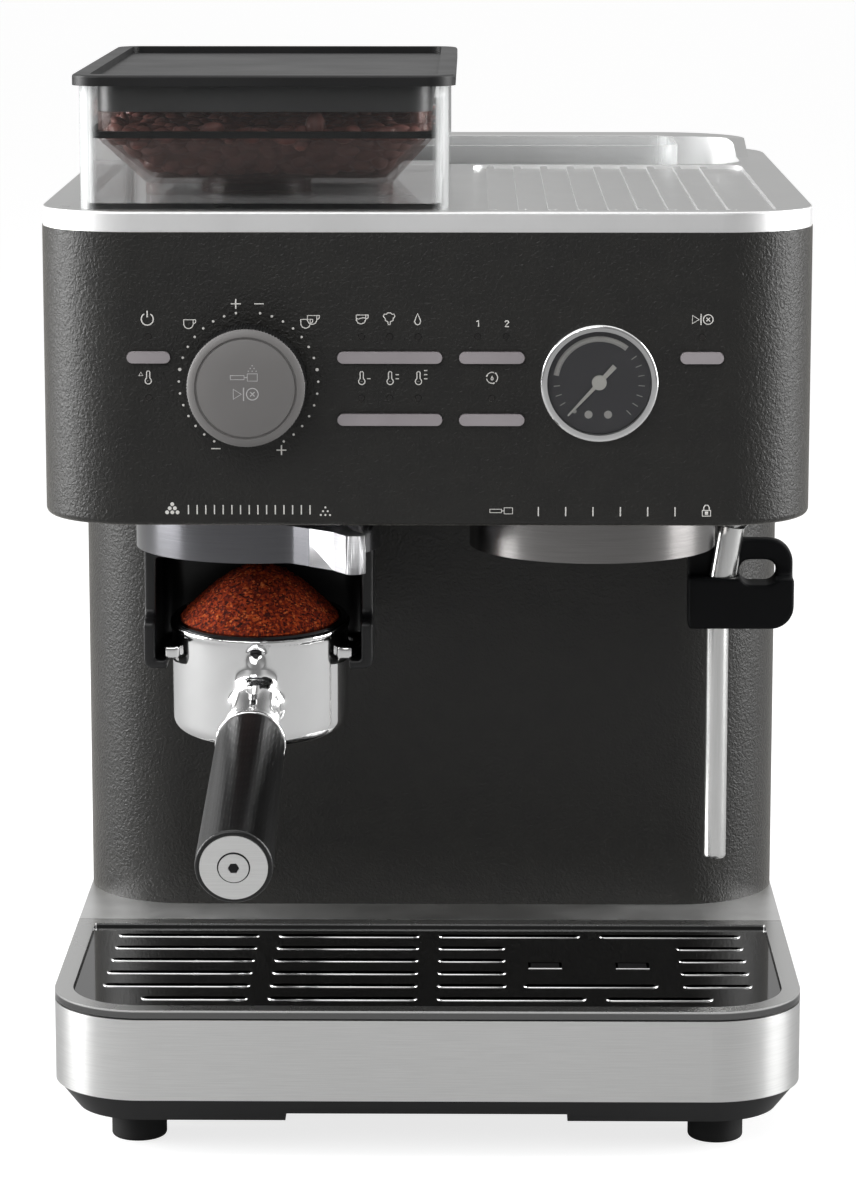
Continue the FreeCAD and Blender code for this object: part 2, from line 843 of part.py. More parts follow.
def grind_adjust_ring():
    drum = rod_z(adjust_ring_radius, ring_z, ring_top_z, grinder_x, grinder_y)
    drum = fuse(drum, adjust_lever())
    roots = [edge for edge in upright_edges(drum)
             if abs(math.hypot(edge.CenterOfMass.x - grinder_x, edge.CenterOfMass.y - grinder_y)
                    - adjust_ring_radius) < 1e-3 and edge.Length < adjust_ring_height - 1e-3]
    drum = drum.makeFillet(lever_root_curve, roots)
    bore = rod_z(adjust_ring_bore, ring_z, ring_top_z, grinder_x, grinder_y)
    pocket = rod_z(ring_pocket_radius, ring_z + adjust_ring_floor, ring_top_z, grinder_x, grinder_y)
    core = rod_z(adjust_ring_bore + adjust_ring_wall, ring_z + adjust_ring_floor, ring_top_z,
                 grinder_x, grinder_y)
    return cut(drum, cut(pocket, core), bore)


def burr_carrier():
    top_z = burr_z + outer_burr_height
    reach = ring_pocket_radius - seat_clearance
    sleeve = rod_z(outer_burr_radius + seat_clearance + carrier_wall, burr_z, top_z,
                   grinder_x, grinder_y)
    flange = rod_z(reach, top_z - carrier_flange, top_z, grinder_x, grinder_y)
    ring = rod_z(reach, ring_z + adjust_ring_floor, top_z, grinder_x, grinder_y)
    ring = cut(ring, rod_z(reach - carrier_post_thickness, ring_z + adjust_ring_floor, top_z,
                           grinder_x, grinder_y))
    posts = []
    for angle in carrier_post_angles:
        post = box(grinder_x - carrier_post_width / 2, grinder_x + carrier_post_width / 2,
                   grinder_y - adjust_ring_radius, grinder_y, ring_z + adjust_ring_floor, top_z)
        posts.append(ring.common(turn_z(post, angle, grinder_x, grinder_y)))
    bore = rod_z(outer_burr_radius + seat_clearance, burr_z, top_z, grinder_x, grinder_y)
    return cut(fuse(sleeve, flange, *posts), bore)


def outer_burr():
    top_z = burr_z + outer_burr_height
    slope = (inner_burr_radius - inner_burr_top_radius) / inner_burr_height
    mouth = max(burr_mouth_radius, inner_burr_radius - slope * outer_burr_height + burr_gap)
    ring = rod_z(outer_burr_radius, burr_z, top_z, grinder_x, grinder_y)
    cone = cone_z(inner_burr_radius + burr_gap, mouth, burr_z, top_z, grinder_x, grinder_y)
    return cut(ring, cone)


def inner_burr():
    top_z = burr_z + inner_burr_height
    cone = cone_z(inner_burr_radius, inner_burr_top_radius, burr_z, top_z, grinder_x, grinder_y)
    bore = rod_z(burr_shaft_radius + running_clearance, burr_z, top_z, grinder_x, grinder_y)
    flutes = []
    slope = math.degrees(math.atan2(inner_burr_radius - inner_burr_top_radius, inner_burr_height))
    for index in range(burr_flutes):
        flute = box(-flute_width / 2, flute_width / 2, -flute_depth, flute_depth,
                    -inner_burr_height, inner_burr_height * 2)
        flute.rotate(Vector(0, 0, 0), Vector(0, 1, 0), flute_lean_deg)
        flute.rotate(Vector(0, 0, 0), Vector(1, 0, 0), -slope)
        flute.translate(Vector(grinder_x, grinder_y - inner_burr_radius, burr_z))
        flutes.append(turn_z(flute, index * 360.0 / burr_flutes, grinder_x, grinder_y))
    return cut(cone, bore, *flutes)


def burr_shaft():
    return rod_z(burr_shaft_radius, bearing_z - bearing_boss_wall, burr_z + inner_burr_height,
                 grinder_x, grinder_y)


def burr_bearing():
    race = rod_z(bearing_radius, bearing_z, bracket_z, grinder_x, grinder_y)
    return cut(race, rod_z(burr_shaft_radius + running_clearance, bearing_z, bracket_z,
                           grinder_x, grinder_y))


def gear(teeth, z0, z1, x, y, first_tooth_deg):
    """Involute spur gear; one tooth points along first_tooth_deg from +X."""
    pitch_radius = gear_module * teeth / 2
    pressure = math.radians(pressure_angle_deg)
    base_radius = pitch_radius * math.cos(pressure)
    root_radius = pitch_radius - 1.25 * gear_module
    tip_radius = pitch_radius + 0.9 * gear_module
    half_at_pitch = math.pi / (2 * teeth) - gear_backlash / (2 * pitch_radius)

    def half_angle(radius):
        roll = math.acos(min(1.0, base_radius / radius))
        involute = math.tan(roll) - roll
        return half_at_pitch + math.tan(pressure) - pressure - involute

    flank = [(root_radius, half_angle(max(root_radius, base_radius)))]
    for radius in (max(base_radius, root_radius) + gear_module / 4, pitch_radius, tip_radius):
        flank.append((radius, half_angle(radius)))
    points = []
    for index in range(teeth):
        centre = math.radians(first_tooth_deg) + index * 2 * math.pi / teeth
        for radius, half in flank:
            points.append(Vector(x + radius * math.cos(centre - half),
                                 y + radius * math.sin(centre - half), z0))
        for radius, half in reversed(flank):
            points.append(Vector(x + radius * math.cos(centre + half),
                                 y + radius * math.sin(centre + half), z0))
    return Part.Face(Part.makePolygon(points + points[:1])).extrude(Vector(0, 0, z1 - z0))


def drive_gear():
    wheel = gear(drive_teeth, gear_z, gear_top_z, grinder_x, grinder_y, 90.0)
    holes = [rod_z(burr_shaft_radius + running_clearance, gear_z, gear_top_z, grinder_x, grinder_y)]
    for index in range(web_holes):
        angle = 2 * math.pi * index / web_holes
        holes.append(rod_z(web_hole_radius, gear_z, gear_top_z,
                           grinder_x + web_hole_circle * math.cos(angle),
                           grinder_y + web_hole_circle * math.sin(angle)))
    return cut(wheel, *holes)


def motor_gear():
    wheel = gear(motor_teeth, gear_z, gear_top_z, grinder_x, motor_y, -90.0 + 180.0 / motor_teeth)
    shaft = rod_z(motor_shaft_radius, bracket_z - motor_shaft_depth, gear_z, grinder_x, motor_y)
    return fuse(wheel, shaft)


def grinder_motor():
    can = rod_z(motor_radius, floor_top_z, bracket_z, grinder_x, motor_y)
    socket = rod_z(motor_shaft_radius + running_clearance,
                   bracket_z - motor_shaft_depth - loose_clearance, bracket_z, grinder_x, motor_y)
    return cut(can, socket)


def grinder_housing():
    """Bracket over the motor, funnel under the gear, chute down to the cradle."""
    top_z = bracket_z + bracket_thickness
    neck_z = top_z - funnel_height
    bracket = plan_block(grinder_x - bracket_half_width, grinder_x + bracket_half_width, grinder_y,
                         motor_y + bracket_half_width, bracket_z, top_z, 0, bracket_corner)
    funnel = cone_z(chute_radius, funnel_top_radius, neck_z, top_z, grinder_x, grinder_y)
    chute = rod_z(chute_radius, cradle_top_z, neck_z, grinder_x, grinder_y)
    inner_funnel = cone_z(chute_radius - funnel_wall, funnel_top_radius - funnel_wall, neck_z, top_z,
                          grinder_x, grinder_y)
    inner_chute = rod_z(chute_radius - funnel_wall, cradle_top_z, neck_z, grinder_x, grinder_y)
    shell = cut(fuse(bracket, funnel, chute), inner_funnel, inner_chute)
    boss_radius = bearing_radius + bearing_boss_wall
    boss = rod_z(boss_radius, bearing_z - bearing_boss_wall, bracket_z, grinder_x, grinder_y)
    arms = []
    for index in range(spider_arms):
        arm = box(grinder_x - spider_width / 2, grinder_x + spider_width / 2,
                  grinder_y - funnel_top_radius, grinder_y, bearing_z - bearing_boss_wall, bracket_z)
        arms.append(turn_z(arm, index * 360.0 / spider_arms, grinder_x, grinder_y))
    spider = fuse(boss, *arms).common(fuse(funnel, chute))
    seat = rod_z(bearing_radius + seat_clearance, bearing_z, bracket_z, grinder_x, grinder_y)
    shaft_hole = rod_z(burr_shaft_radius + loose_clearance, bearing_z - bearing_boss_wall,
                       bracket_z, grinder_x, grinder_y)
    motor_hole = rod_z(motor_shaft_radius * 2, bracket_z, top_z, grinder_x, motor_y)
    return cut(fuse(shell, spider), seat, shaft_hole, motor_hole)


def portafilter_cradle():
    x0 = grinder_x - cradle_half_width
    x1 = grinder_x + cradle_half_width
    y0 = grinder_y - cradle_front
    y1 = grinder_y + cradle_back
    block = plan_block(x0, x1, y0, y1, cradle_z, cradle_top_z, 0, cradle_radius)
    under_edges = [edge for edge in edges_at_z(block, cradle_z) if edge.BoundBox.YMax > y0 + cradle_edge]
    block = block.makeFillet(cradle_edge, under_edges)
    space = plan_block(x0 + cradle_wall, x1 - cradle_wall, y0, y1 - cradle_wall, ledge_z,
                       cradle_plate_z, 0, cradle_radius - cradle_wall)
    ledge_inner = bowl_radius + loose_clearance * 3
    gap = plan_block(grinder_x - ledge_inner, grinder_x + ledge_inner, y0, y1 - cradle_wall,
                     cradle_z, ledge_z, 0, cradle_radius - cradle_wall)
    outlet = rod_z(chute_radius - funnel_wall, cradle_plate_z, cradle_top_z, grinder_x, grinder_y)
    notch = box(x0 + cradle_wall, x1 - cradle_wall, y0, grinder_y - cradle_notch, cradle_plate_z,
                cradle_top_z)
    arm_front = box(x0, x1, y0, y0 + arm_setback, cradle_z + fork_height, cradle_top_z)
    cradle = cut(block, space, gap, outlet, notch, arm_front)
    bends = [edge for edge in edges_at_z(cradle, cradle_z + fork_height)
             if edge.BoundBox.YLength < 1e-4 and edge.BoundBox.YMax < y0 + arm_setback + 1e-4]
    return cradle.makeFillet(fork_curve, bends)


# Portafilter
def handle_axis():
    slope = math.radians(handle_slope_deg)
    start = Vector(grinder_x, handle_start_y, cup_rim_z - handle_start_drop)
    return start, Vector(0, -math.cos(slope), -math.sin(slope))


def hung(shape):
    """A portafilter piece tipped forward about its lugs, as the weight of the handle leaves it."""
    tipped = shape.copy()
    tipped.rotate(Vector(grinder_x, grinder_y, lug_z + lug_height / 2), Vector(1, 0, 0),
                  portafilter_tilt_deg)
    return tipped


def portafilter_bowl():
    start, along = handle_axis()
    cup = rod_z(bowl_radius, cup_z, cup_rim_z, grinder_x, grinder_y)
    cup = cup.makeFillet(bowl_edge, edges_at_z(cup, cup_z))
    lip = rod_z(bowl_radius + lip_proud, cup_rim_z - lip_height, cup_rim_z, grinder_x, grinder_y)
    lip = lip.makeFillet(lip_proud, edges_at_z(lip, cup_rim_z))
    neck = Part.makeCone(neck_radius, handle_root_radius, neck_length, start - along * neck_length,
                         along)
    reach = bowl_radius + lug_reach
    lug_y = grinder_y - lug_lead
    lugs = box(grinder_x - reach, grinder_x + reach, lug_y - lug_width / 2, lug_y + lug_width / 2,
               lug_z, lug_z + lug_height)
    lugs = lugs.common(rod_z(reach, lug_z, lug_z + lug_height, grinder_x, grinder_y))
    hollow = rod_z(bowl_radius - bowl_cup_wall, cup_z + bowl_cup_floor, cup_rim_z,
                   grinder_x, grinder_y)
    outlet = rod_z(outlet_radius, cup_z, cup_z + bowl_cup_floor, grinder_x, grinder_y)
    front_y = grinder_y - bowl_radius
    boss_top = Vector(grinder_x, front_y + neck_boss_sink, cup_rim_z - neck_boss_drop)
    boss = fuse(Part.makeSphere(neck_boss_radius, boss_top),
                Part.makeCylinder(neck_boss_radius, neck_boss_length, boss_top, Vector(0, 0, -1)))
    slot_z = cup_rim_z - clip_slot_drop
    clip_slot = box(grinder_x - clip_slot_width / 2, grinder_x + clip_slot_width / 2, front_y,
                    front_y + clip_slot_depth, slot_z - clip_slot_height, slot_z)
    flutes = []
    for side in (-1, 1):
        tip = start - along * neck_flute_start + Vector(side * neck_flute_x, 0, neck_flute_rise)
        length = neck_length - neck_flute_start
        flute = Part.makeCylinder(neck_flute_radius, length, tip, along * -1)
        flutes.append(fuse(flute, Part.makeSphere(neck_flute_radius, tip)))
    body = fuse(cup, neck)
    joint = [edge for edge in body.Edges
             if neck_radius < edge.BoundBox.XLength < bowl_radius
             and edge.BoundBox.ZLength > neck_radius and edge.BoundBox.YMin > front_y - neck_blend]
    body = body.makeFillet(neck_blend, joint)
    flutes = cut(fuse(*flutes), rod_z(bowl_radius, cup_z, cup_rim_z, grinder_x, grinder_y))
    ring = Part.makeCylinder(handle_root_radius + neck_ring_proud, neck_ring_length,
                             start - along * neck_ring_length, along)
    cast = cut(fuse(cut(body, flutes), lip, boss, ring), hollow, outlet, clip_slot)
    return fuse(hung(cast), cut(lugs, hung(hollow)))


def filter_basket():
    radius = bowl_radius - bowl_cup_wall - loose_clearance
    low_z = cup_rim_z - basket_height
    top_z = cup_rim_z + basket_rim_height
    wall = rod_z(radius, low_z, top_z, grinder_x, grinder_y)
    rim = rod_z(radius + basket_rim_width, cup_rim_z, top_z, grinder_x, grinder_y)
    hollow = rod_z(radius - basket_wall, low_z + basket_wall, top_z, grinder_x, grinder_y)
    return hung(cut(fuse(wall, rim), hollow))


def ground_coffee():
    """Filled basket with a cone of grounds heaped over its rim, rounded at the top."""
    radius = bowl_radius - bowl_cup_wall - loose_clearance - basket_wall - seat_clearance
    low_z = cup_rim_z - basket_height + basket_wall
    rim_z = cup_rim_z + basket_rim_height
    profile = [(0, low_z), (radius, low_z), (radius, rim_z)]
    for out, rise in heap_profile:
        profile.append((radius * out, rim_z + mound_height * rise))
    corners = [Vector(grinder_x + out, grinder_y, z) for out, z in profile]
    outline = Part.Face(Part.makePolygon(corners + corners[:1]))
    return hung(outline.revolve(Vector(grinder_x, grinder_y, 0), Vector(0, 0, 1), 360))


def portafilter_handle():
    start, along = handle_axis()
    grip = Part.makeCone(handle_root_radius, handle_end_radius, handle_length, start, along)
    end = start + along * handle_length
    rims = [edge for edge in grip.Edges if (edge.CenterOfMass - end).Length < 1e-3]
    grip = grip.makeFillet(handle_edge, rims)
    seat = Part.makeCylinder(end_cap_radius + seat_clearance / 2, end_cap_thickness,
                             end - along * (end_cap_thickness - end_cap_proud), along)
    return hung(cut(grip, seat))


def handle_end_cap():
    start, along = handle_axis()
    face = start + along * (handle_length + end_cap_proud)
    disc = Part.makeCylinder(end_cap_radius, end_cap_thickness, face - along * end_cap_thickness,
                             along)
    boss = Part.makeCylinder(cap_boss_radius, cap_boss_height, face, along)
    side = Vector(1, 0, 0)
    up = along.cross(side)
    outer = face + along * cap_boss_height
    corners = []
    for index in range(6):
        angle = math.pi * index / 3
        corners.append(outer + side * hex_radius * math.cos(angle) + up * hex_radius * math.sin(angle))
    socket = Part.Face(Part.makePolygon(corners + corners[:1])).extrude(along * -hex_depth)
    return hung(cut(fuse(disc, boss), socket))


# Brew group
def group_collar():
    low_z = head_z - collar_height
    ring = rod_z(collar_radius, low_z, head_z, right_axis_x, group_y)
    bore = rod_z(collar_radius - collar_wall, low_z + collar_lip, head_z, right_axis_x, group_y)
    mouth = rod_z(collar_lip_radius, low_z, low_z + collar_lip, right_axis_x, group_y)
    notch = box(right_axis_x - collar_radius + collar_wall, right_axis_x + collar_radius - collar_wall,
                group_y - lug_width / 2 - loose_clearance, group_y + lug_width / 2 + loose_clearance,
                low_z, low_z + collar_lip)
    return cut(ring, bore, mouth, notch)


def group_head():
    body = rod_z(collar_radius - collar_wall - seat_clearance, head_z - group_body_drop, floor_top_z,
                 right_axis_x, group_y)
    flange_top = floor_top_z + group_flange_height
    flange = rod_z(group_flange_radius, floor_top_z, flange_top, right_axis_x, group_y)
    boss = rod_z(group_boss_radius, flange_top, flange_top + group_boss_height, right_axis_x, group_y)
    return fuse(body, flange, boss)


def shower_screen():
    top_z = head_z - group_body_drop
    return rod_z(screen_radius, top_z - screen_thickness, top_z, right_axis_x, group_y)


def thermoblock():
    x0 = right_axis_x - boiler_half_width
    x1 = right_axis_x + boiler_half_width
    top_z = floor_top_z + boiler_height
    block = box(x0, x1, boiler_y0, boiler_y1, floor_top_z, top_z)
    pitch = (x1 - x0) / (boiler_fins + 1)
    gaps = [box(x0 + index * pitch - fin_gap / 2, x0 + index * pitch + fin_gap / 2, boiler_y0,
                boiler_y1, top_z - fin_depth, top_z) for index in range(1, boiler_fins + 1)]
    return cut(block, *gaps)


def water_pump():
    low_z = base_z + base_floor
    foot = box(pump_x0, pump_x1, pump_y - pump_radius, pump_y + pump_radius, low_z,
               low_z + pump_foot_height)
    barrel = Part.makeCylinder(pump_radius, pump_x1 - pump_x0,
                               Vector(pump_x0, pump_y, low_z + pump_foot_height + pump_radius / 2),
                               Vector(1, 0, 0))
    return fuse(foot, barrel)


def power_inlet():
    z = tray_z + inlet_height
    wall_y = body_depth - deck_wall
    spigot = rod_y(inlet_radius, wall_y, body_depth, inlet_x, z)
    flange = rod_y(inlet_radius + inlet_flange, wall_y - inlet_flange_length, wall_y, inlet_x, z)
    bore = rod_y(inlet_bore_radius, wall_y - inlet_flange_length, body_depth, inlet_x, z)
    return cut(fuse(spigot, flange), bore)


# Hopper
def hopper_bin():
    outer = plan_block(hopper_x0, hopper_x1, hopper_y0, hopper_y1, plate_top_z, lid_z, hopper_radius)
    inner = plan_block(hopper_x0 + bin_wall, hopper_x1 - bin_wall, hopper_y0 + bin_wall,
                       hopper_y1 - bin_wall, plate_top_z + bin_floor, lid_z,
                       hopper_radius - bin_wall)
    hole = rod_z(throat_radius + seat_clearance, plate_top_z, plate_top_z + bin_floor,
                 grinder_x, grinder_y)
    return cut(outer, inner, hole)


def bowl_form(inset, low_z, slope_z, high_z):
    """Straight band over a funnel, drawn in by an inset, as one solid."""
    edge = bin_wall + bowl_gap + inset
    radius = bowl_radius_plan - inset
    x0 = hopper_x0 + edge
    x1 = hopper_x1 - edge
    y0 = hopper_y0 + edge
    y1 = hopper_y1 - edge
    band = plan_block(x0, x1, y0, y1, slope_z, high_z, radius)
    funnel = Part.makeLoft([
        plan_wire(x0 + bowl_side_slope, x1 - bowl_side_slope, y0 + bowl_end_slope,
                  y1 - bowl_end_slope, radius, radius, low_z),
        plan_wire(x0, x1, y0, y1, radius, radius, slope_z),
    ], True, True)
    return fuse(band, funnel)


bowl_top_z = lid_z - bowl_rim_drop
bowl_slope_z = bowl_top_z - bowl_band_height
bowl_floor_z = bowl_slope_z - bowl_slope_height


def bowl_skirt(inset):
    """Foot under the bowl's floor that stands just off the floor of the bin."""
    edge = bin_wall + bowl_gap + inset
    across = edge + bowl_side_slope
    deep = edge + bowl_end_slope
    return plan_block(hopper_x0 + across, hopper_x1 - across, hopper_y0 + deep, hopper_y1 - deep,
                      plate_top_z + bin_floor + loose_clearance, bowl_floor_z - bowl_wall,
                      bowl_radius_plan - inset)


def hopper_bowl():
    outer = bowl_form(0, bowl_floor_z - bowl_wall, bowl_slope_z, bowl_top_z)
    inner = bowl_form(bowl_wall, bowl_floor_z, bowl_slope_z, bowl_top_z)
    throat_z = plate_top_z - throat_reach
    tube = rod_z(throat_radius, throat_z, bowl_floor_z, grinder_x, grinder_y)
    hole = rod_z(throat_radius - bowl_wall, throat_z, bowl_floor_z, grinder_x, grinder_y)
    skirt = bowl_skirt(0)
    skirt = cut(skirt, bowl_skirt(bowl_wall))
    return cut(fuse(outer, tube, skirt), inner, hole)


def hopper_seal():
    edge = bin_wall + seat_clearance
    inner = bin_wall + bowl_gap - seat_clearance / 3
    low_z = bowl_slope_z + seal_rise
    ring = plan_block(hopper_x0 + edge, hopper_x1 - edge, hopper_y0 + edge, hopper_y1 - edge,
                      low_z, low_z + seal_height, hopper_radius - edge)
    hole = plan_block(hopper_x0 + inner, hopper_x1 - inner, hopper_y0 + inner, hopper_y1 - inner,
                      low_z, low_z + seal_height, bowl_radius_plan)
    return cut(ring, hole)


def coffee_beans():
    return bowl_form(bowl_wall + loose_clearance, bowl_floor_z + loose_clearance, bowl_slope_z,
                     bowl_top_z - bean_headroom)


def hopper_lid():
    x0 = hopper_x0 - lid_overhang
    x1 = hopper_x1 + lid_overhang
    y0 = hopper_y0 - lid_overhang
    y1 = hopper_y1 + lid_overhang
    top_z = lid_z + lid_height
    radius = hopper_radius + lid_overhang
    lid = plan_block(x0, x1, y0, y1, lid_z, top_z, radius)
    lid = lid.makeFillet(lid_edge, edges_at_z(lid, top_z))
    recess = plan_block(x0 + lid_rim, x1 - lid_rim, y0 + lid_rim, y1 - lid_rim, top_z - lid_recess,
                        top_z, radius - lid_rim)
    return cut(lid, recess)


def lid_plug():
    edge = bin_wall + bowl_gap
    radius = bowl_radius_plan
    low_z = bowl_top_z + loose_clearance
    block = plan_block(hopper_x0 + edge, hopper_x1 - edge, hopper_y0 + edge, hopper_y1 - edge,
                       low_z, lid_z, radius)
    edge += plug_wall
    hollow = plan_block(hopper_x0 + edge, hopper_x1 - edge, hopper_y0 + edge, hopper_y1 - edge,
                        low_z + plug_wall, lid_z, radius - plug_wall)
    return cut(block, hollow)


def water_tank():
    outer = plan_block(-tank_half_width, tank_half_width, tank_y0, tank_y1, tank_z, tank_top_z,
                       tank_radius)
    inner = plan_block(-tank_half_width + tank_wall, tank_half_width - tank_wall,
                       tank_y0 + tank_wall, tank_y1 - tank_wall, tank_z + tank_wall, tank_top_z,
                       tank_radius - tank_wall)
    return cut(outer, inner)


# Drip tray
def drip_tray_front():
    low_z = tray_z + loose_clearance
    top_z = grille_z - band_seam
    outer = plan_block(-half_width, half_width, 0, tray_depth, low_z, top_z, front_corner_radius, 0)
    inner = plan_block(-half_width + band_wall, half_width - band_wall, band_wall, tray_depth,
                       low_z, top_z, front_corner_radius - band_wall, 0)
    return cut(outer, inner)


def drip_tray_pan():
    low_z = tray_z + loose_clearance
    edge = band_wall + seat_clearance
    outer = plan_block(-half_width + edge, half_width - edge, edge, tray_depth, low_z, grille_z,
                       front_corner_radius - edge, 0)
    edge += pan_wall
    inner = plan_block(-half_width + edge, half_width - edge, edge, tray_depth - pan_wall,
                       low_z + pan_wall, grille_z, front_corner_radius - edge, 0)
    return cut(outer, inner)


def grille_slots(z0, z1):
    """Rows of drain slots, kept short beside the float and at the rounded front corners."""
    pitch = slot_length + slot_gap
    float_half = float_spacing / 2 + float_hole_width
    slots = []
    for row in range(slot_rows):
        y = first_row_y + row * slot_row_pitch
        beside_float = abs(y - float_y) < slot_row_pitch * 1.7
        for column in range(slot_columns):
            middle = (column - (slot_columns - 1) / 2) * pitch
            x0 = middle - slot_length / 2
            x1 = middle + slot_length / 2
            if row == 0 and column == 0:
                x0 = x1 - front_row_slot_length
            if row == 0 and column == slot_columns - 1:
                x1 = x0 + front_row_slot_length
            if beside_float and x0 < float_x - float_half < x1:
                x1 = x0 + side_slot_length
            elif beside_float and x0 < float_x + float_half < x1:
                x0 = x1 - side_slot_length
            slots.append(slot_z(x0, x1, slot_width, z0, z1, y))
    long_y = first_row_y + slot_row_pitch
    slots.append(slot_z(float_x - long_slot_length / 2, float_x + long_slot_length / 2, slot_width,
                        z0, z1, long_y))
    for side in (-1, 1):
        x = float_x + side * float_spacing / 2
        slots.append(box(x - float_hole_width / 2, x + float_hole_width / 2,
                         float_y - float_hole_depth / 2, float_y + float_hole_depth / 2, z0, z1))
    return slots


def drip_grille():
    low_z = grille_z + seat_clearance
    plate = plan_block(-half_width, half_width, 0, tray_depth, low_z, deck_z, front_corner_radius, 0)
    recess = plan_block(-half_width + grille_rim, half_width - grille_rim, grille_rim,
                        tray_depth - grille_rim, deck_z - grille_recess, deck_z,
                        front_corner_radius - grille_rim, grille_recess)
    return cut(plate, recess, *grille_slots(low_z, deck_z))


def tray_float():
    low_z = tray_z + 2 * loose_clearance + pan_wall
    half_x = float_spacing / 2 + float_hole_width / 2 + float_body_margin
    half_y = float_hole_depth / 2 + float_body_margin
    body = plan_block(float_x - half_x, float_x + half_x, float_y - half_y, float_y + half_y, low_z,
                      low_z + float_body_height, float_body_margin)
    posts = []
    for side in (-1, 1):
        x = float_x + side * float_spacing / 2
        posts.append(box(x - float_hole_width / 2 + float_post_gap,
                         x + float_hole_width / 2 - float_post_gap,
                         float_y - float_hole_depth / 2 + float_post_gap,
                         float_y + float_hole_depth / 2 - float_post_gap,
                         low_z + float_body_height, deck_z - grille_recess))
    return fuse(body, *posts)


# Steam wand
def steam_socket():
    low_z = ball_z + socket_cover
    cap = rod_z(socket_radius, low_z, head_z - loose_clearance, steam_x, steam_y)
    nut_z = floor_top_z + loose_clearance
    spindle = rod_z(spindle_radius, low_z, nut_z + spindle_nut_height, steam_x, steam_y)
    nut = rod_z(spindle_nut_radius, nut_z, nut_z + spindle_nut_height, steam_x, steam_y)
    hollow = Part.makeSphere(ball_radius + loose_clearance, Vector(steam_x, steam_y, ball_z))
    return cut(fuse(cap, spindle, nut), hollow)


def steam_tube():
    centre = Vector(steam_x, steam_y, ball_z)
    elbow = Vector(wand_x, steam_y, elbow_z)
    ball = Part.makeSphere(ball_radius, centre)
    upper = Part.makeCylinder(upper_tube_radius, (elbow - centre).Length, centre, elbow - centre)
    joint = Part.makeSphere(upper_tube_radius, elbow)
    lower = rod_z(wand_radius, wand_seam_z, elbow_z, wand_x, steam_y)
    return fuse(ball, upper, joint, lower)


def steam_grip():
    half = grip_thickness / 2
    block = box(grip_x0, grip_x1, steam_y - half, steam_y + half, grip_z0, grip_z1)
    corners = [edge for edge in block.Edges
               if edge.BoundBox.YLength > half and edge.BoundBox.XMin > steam_x]
    block = block.makeFillet(grip_radius, corners)
    hole = pill_y(finger_hole_length, finger_hole_height, steam_y - half, steam_y + half,
                  finger_hole_x, finger_hole_z)
    before_loop = box(grip_x0, grip_x1, steam_y - half, steam_y + grip_loop_front,
                      grip_z0 + grip_sleeve_height, grip_z1)
    return cut(block, hole, before_loop, steam_tube())


def steam_tip():
    tip = rod_z(wand_radius, wand_tip_z, wand_seam_z, wand_x, steam_y)
    tip = tip.makeFillet(tip_edge, edges_at_z(tip, wand_tip_z))
    return cut(tip, rod_z(tip_hole_radius, wand_tip_z, wand_tip_z + tip_hole_depth, wand_x, steam_y))


makers = (
    base_pan, feet, base_deck, column_shell, back_panel, head_shell, head_floor, top_plate,
    control_board, led_lenses, gauge_bezel, gauge_dial, gauge_lens, gauge_needle,
    knob_plunger, dose_knob, knob_cap,
    grinder_housing, grinder_motor, motor_gear, drive_gear, burr_shaft, burr_bearing, inner_burr,
    outer_burr, burr_carrier, grind_adjust_ring, portafilter_cradle,
    portafilter_bowl, filter_basket, ground_coffee, portafilter_handle, handle_end_cap,
    group_collar, group_head, shower_screen, thermoblock, water_pump, power_inlet,
    hopper_bin, hopper_bowl, hopper_seal, coffee_beans, hopper_lid, lid_plug, water_tank,
    drip_tray_front, drip_tray_pan, drip_grille, tray_float,
    steam_socket, steam_tube, steam_grip, steam_tip,
)

pieces = {make.__name__: make() for make in makers}
for name, (x, z, width) in buttons.items():
    pieces[name] = push_button(x, z, width)

# The origin goes under the middle of the whole machine
whole = Part.makeCompound(list(pieces.values())).optimalBoundingBox(False, False)
shift = Vector(0, -(whole.YMin + whole.YMax) / 2, 0)
os.makedirs("parts", exist_ok=True)
for name, shape in pieces.items():
    shape.translate(shift)
    shape.exportStep("parts/" + name + ".step")
print("front plane at y =", round(shift.y, 4), "pieces:", len(pieces))
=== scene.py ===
"""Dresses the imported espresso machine: finishes, printed signs, coffee and studio.

Lengths in the tables are millimetres in the part's own frame: X to the right, Y back from
the front plane of the head, Z up from the floor. Blender works in metres.
"""
import math
import random

import bmesh
import bpy
from mathutils import Matrix, Vector


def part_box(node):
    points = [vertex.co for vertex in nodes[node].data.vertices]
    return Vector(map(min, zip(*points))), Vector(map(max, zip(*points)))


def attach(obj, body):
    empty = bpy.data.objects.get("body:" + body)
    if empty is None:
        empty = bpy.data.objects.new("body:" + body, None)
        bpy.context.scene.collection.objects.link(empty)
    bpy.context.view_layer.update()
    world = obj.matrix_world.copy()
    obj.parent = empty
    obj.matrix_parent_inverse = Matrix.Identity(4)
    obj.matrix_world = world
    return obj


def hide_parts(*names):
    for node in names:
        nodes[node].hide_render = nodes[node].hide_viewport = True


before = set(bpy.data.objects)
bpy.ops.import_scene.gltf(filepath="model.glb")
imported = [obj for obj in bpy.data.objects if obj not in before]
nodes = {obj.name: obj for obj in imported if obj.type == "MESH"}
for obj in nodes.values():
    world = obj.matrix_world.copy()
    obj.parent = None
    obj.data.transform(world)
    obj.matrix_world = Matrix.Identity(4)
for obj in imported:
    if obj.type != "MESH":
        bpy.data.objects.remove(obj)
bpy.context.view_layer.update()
bpy.ops.object.select_all(action="DESELECT")

MM = 0.001
FRONT_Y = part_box("head_shell")[0].y
MERGE = 0.01 * MM

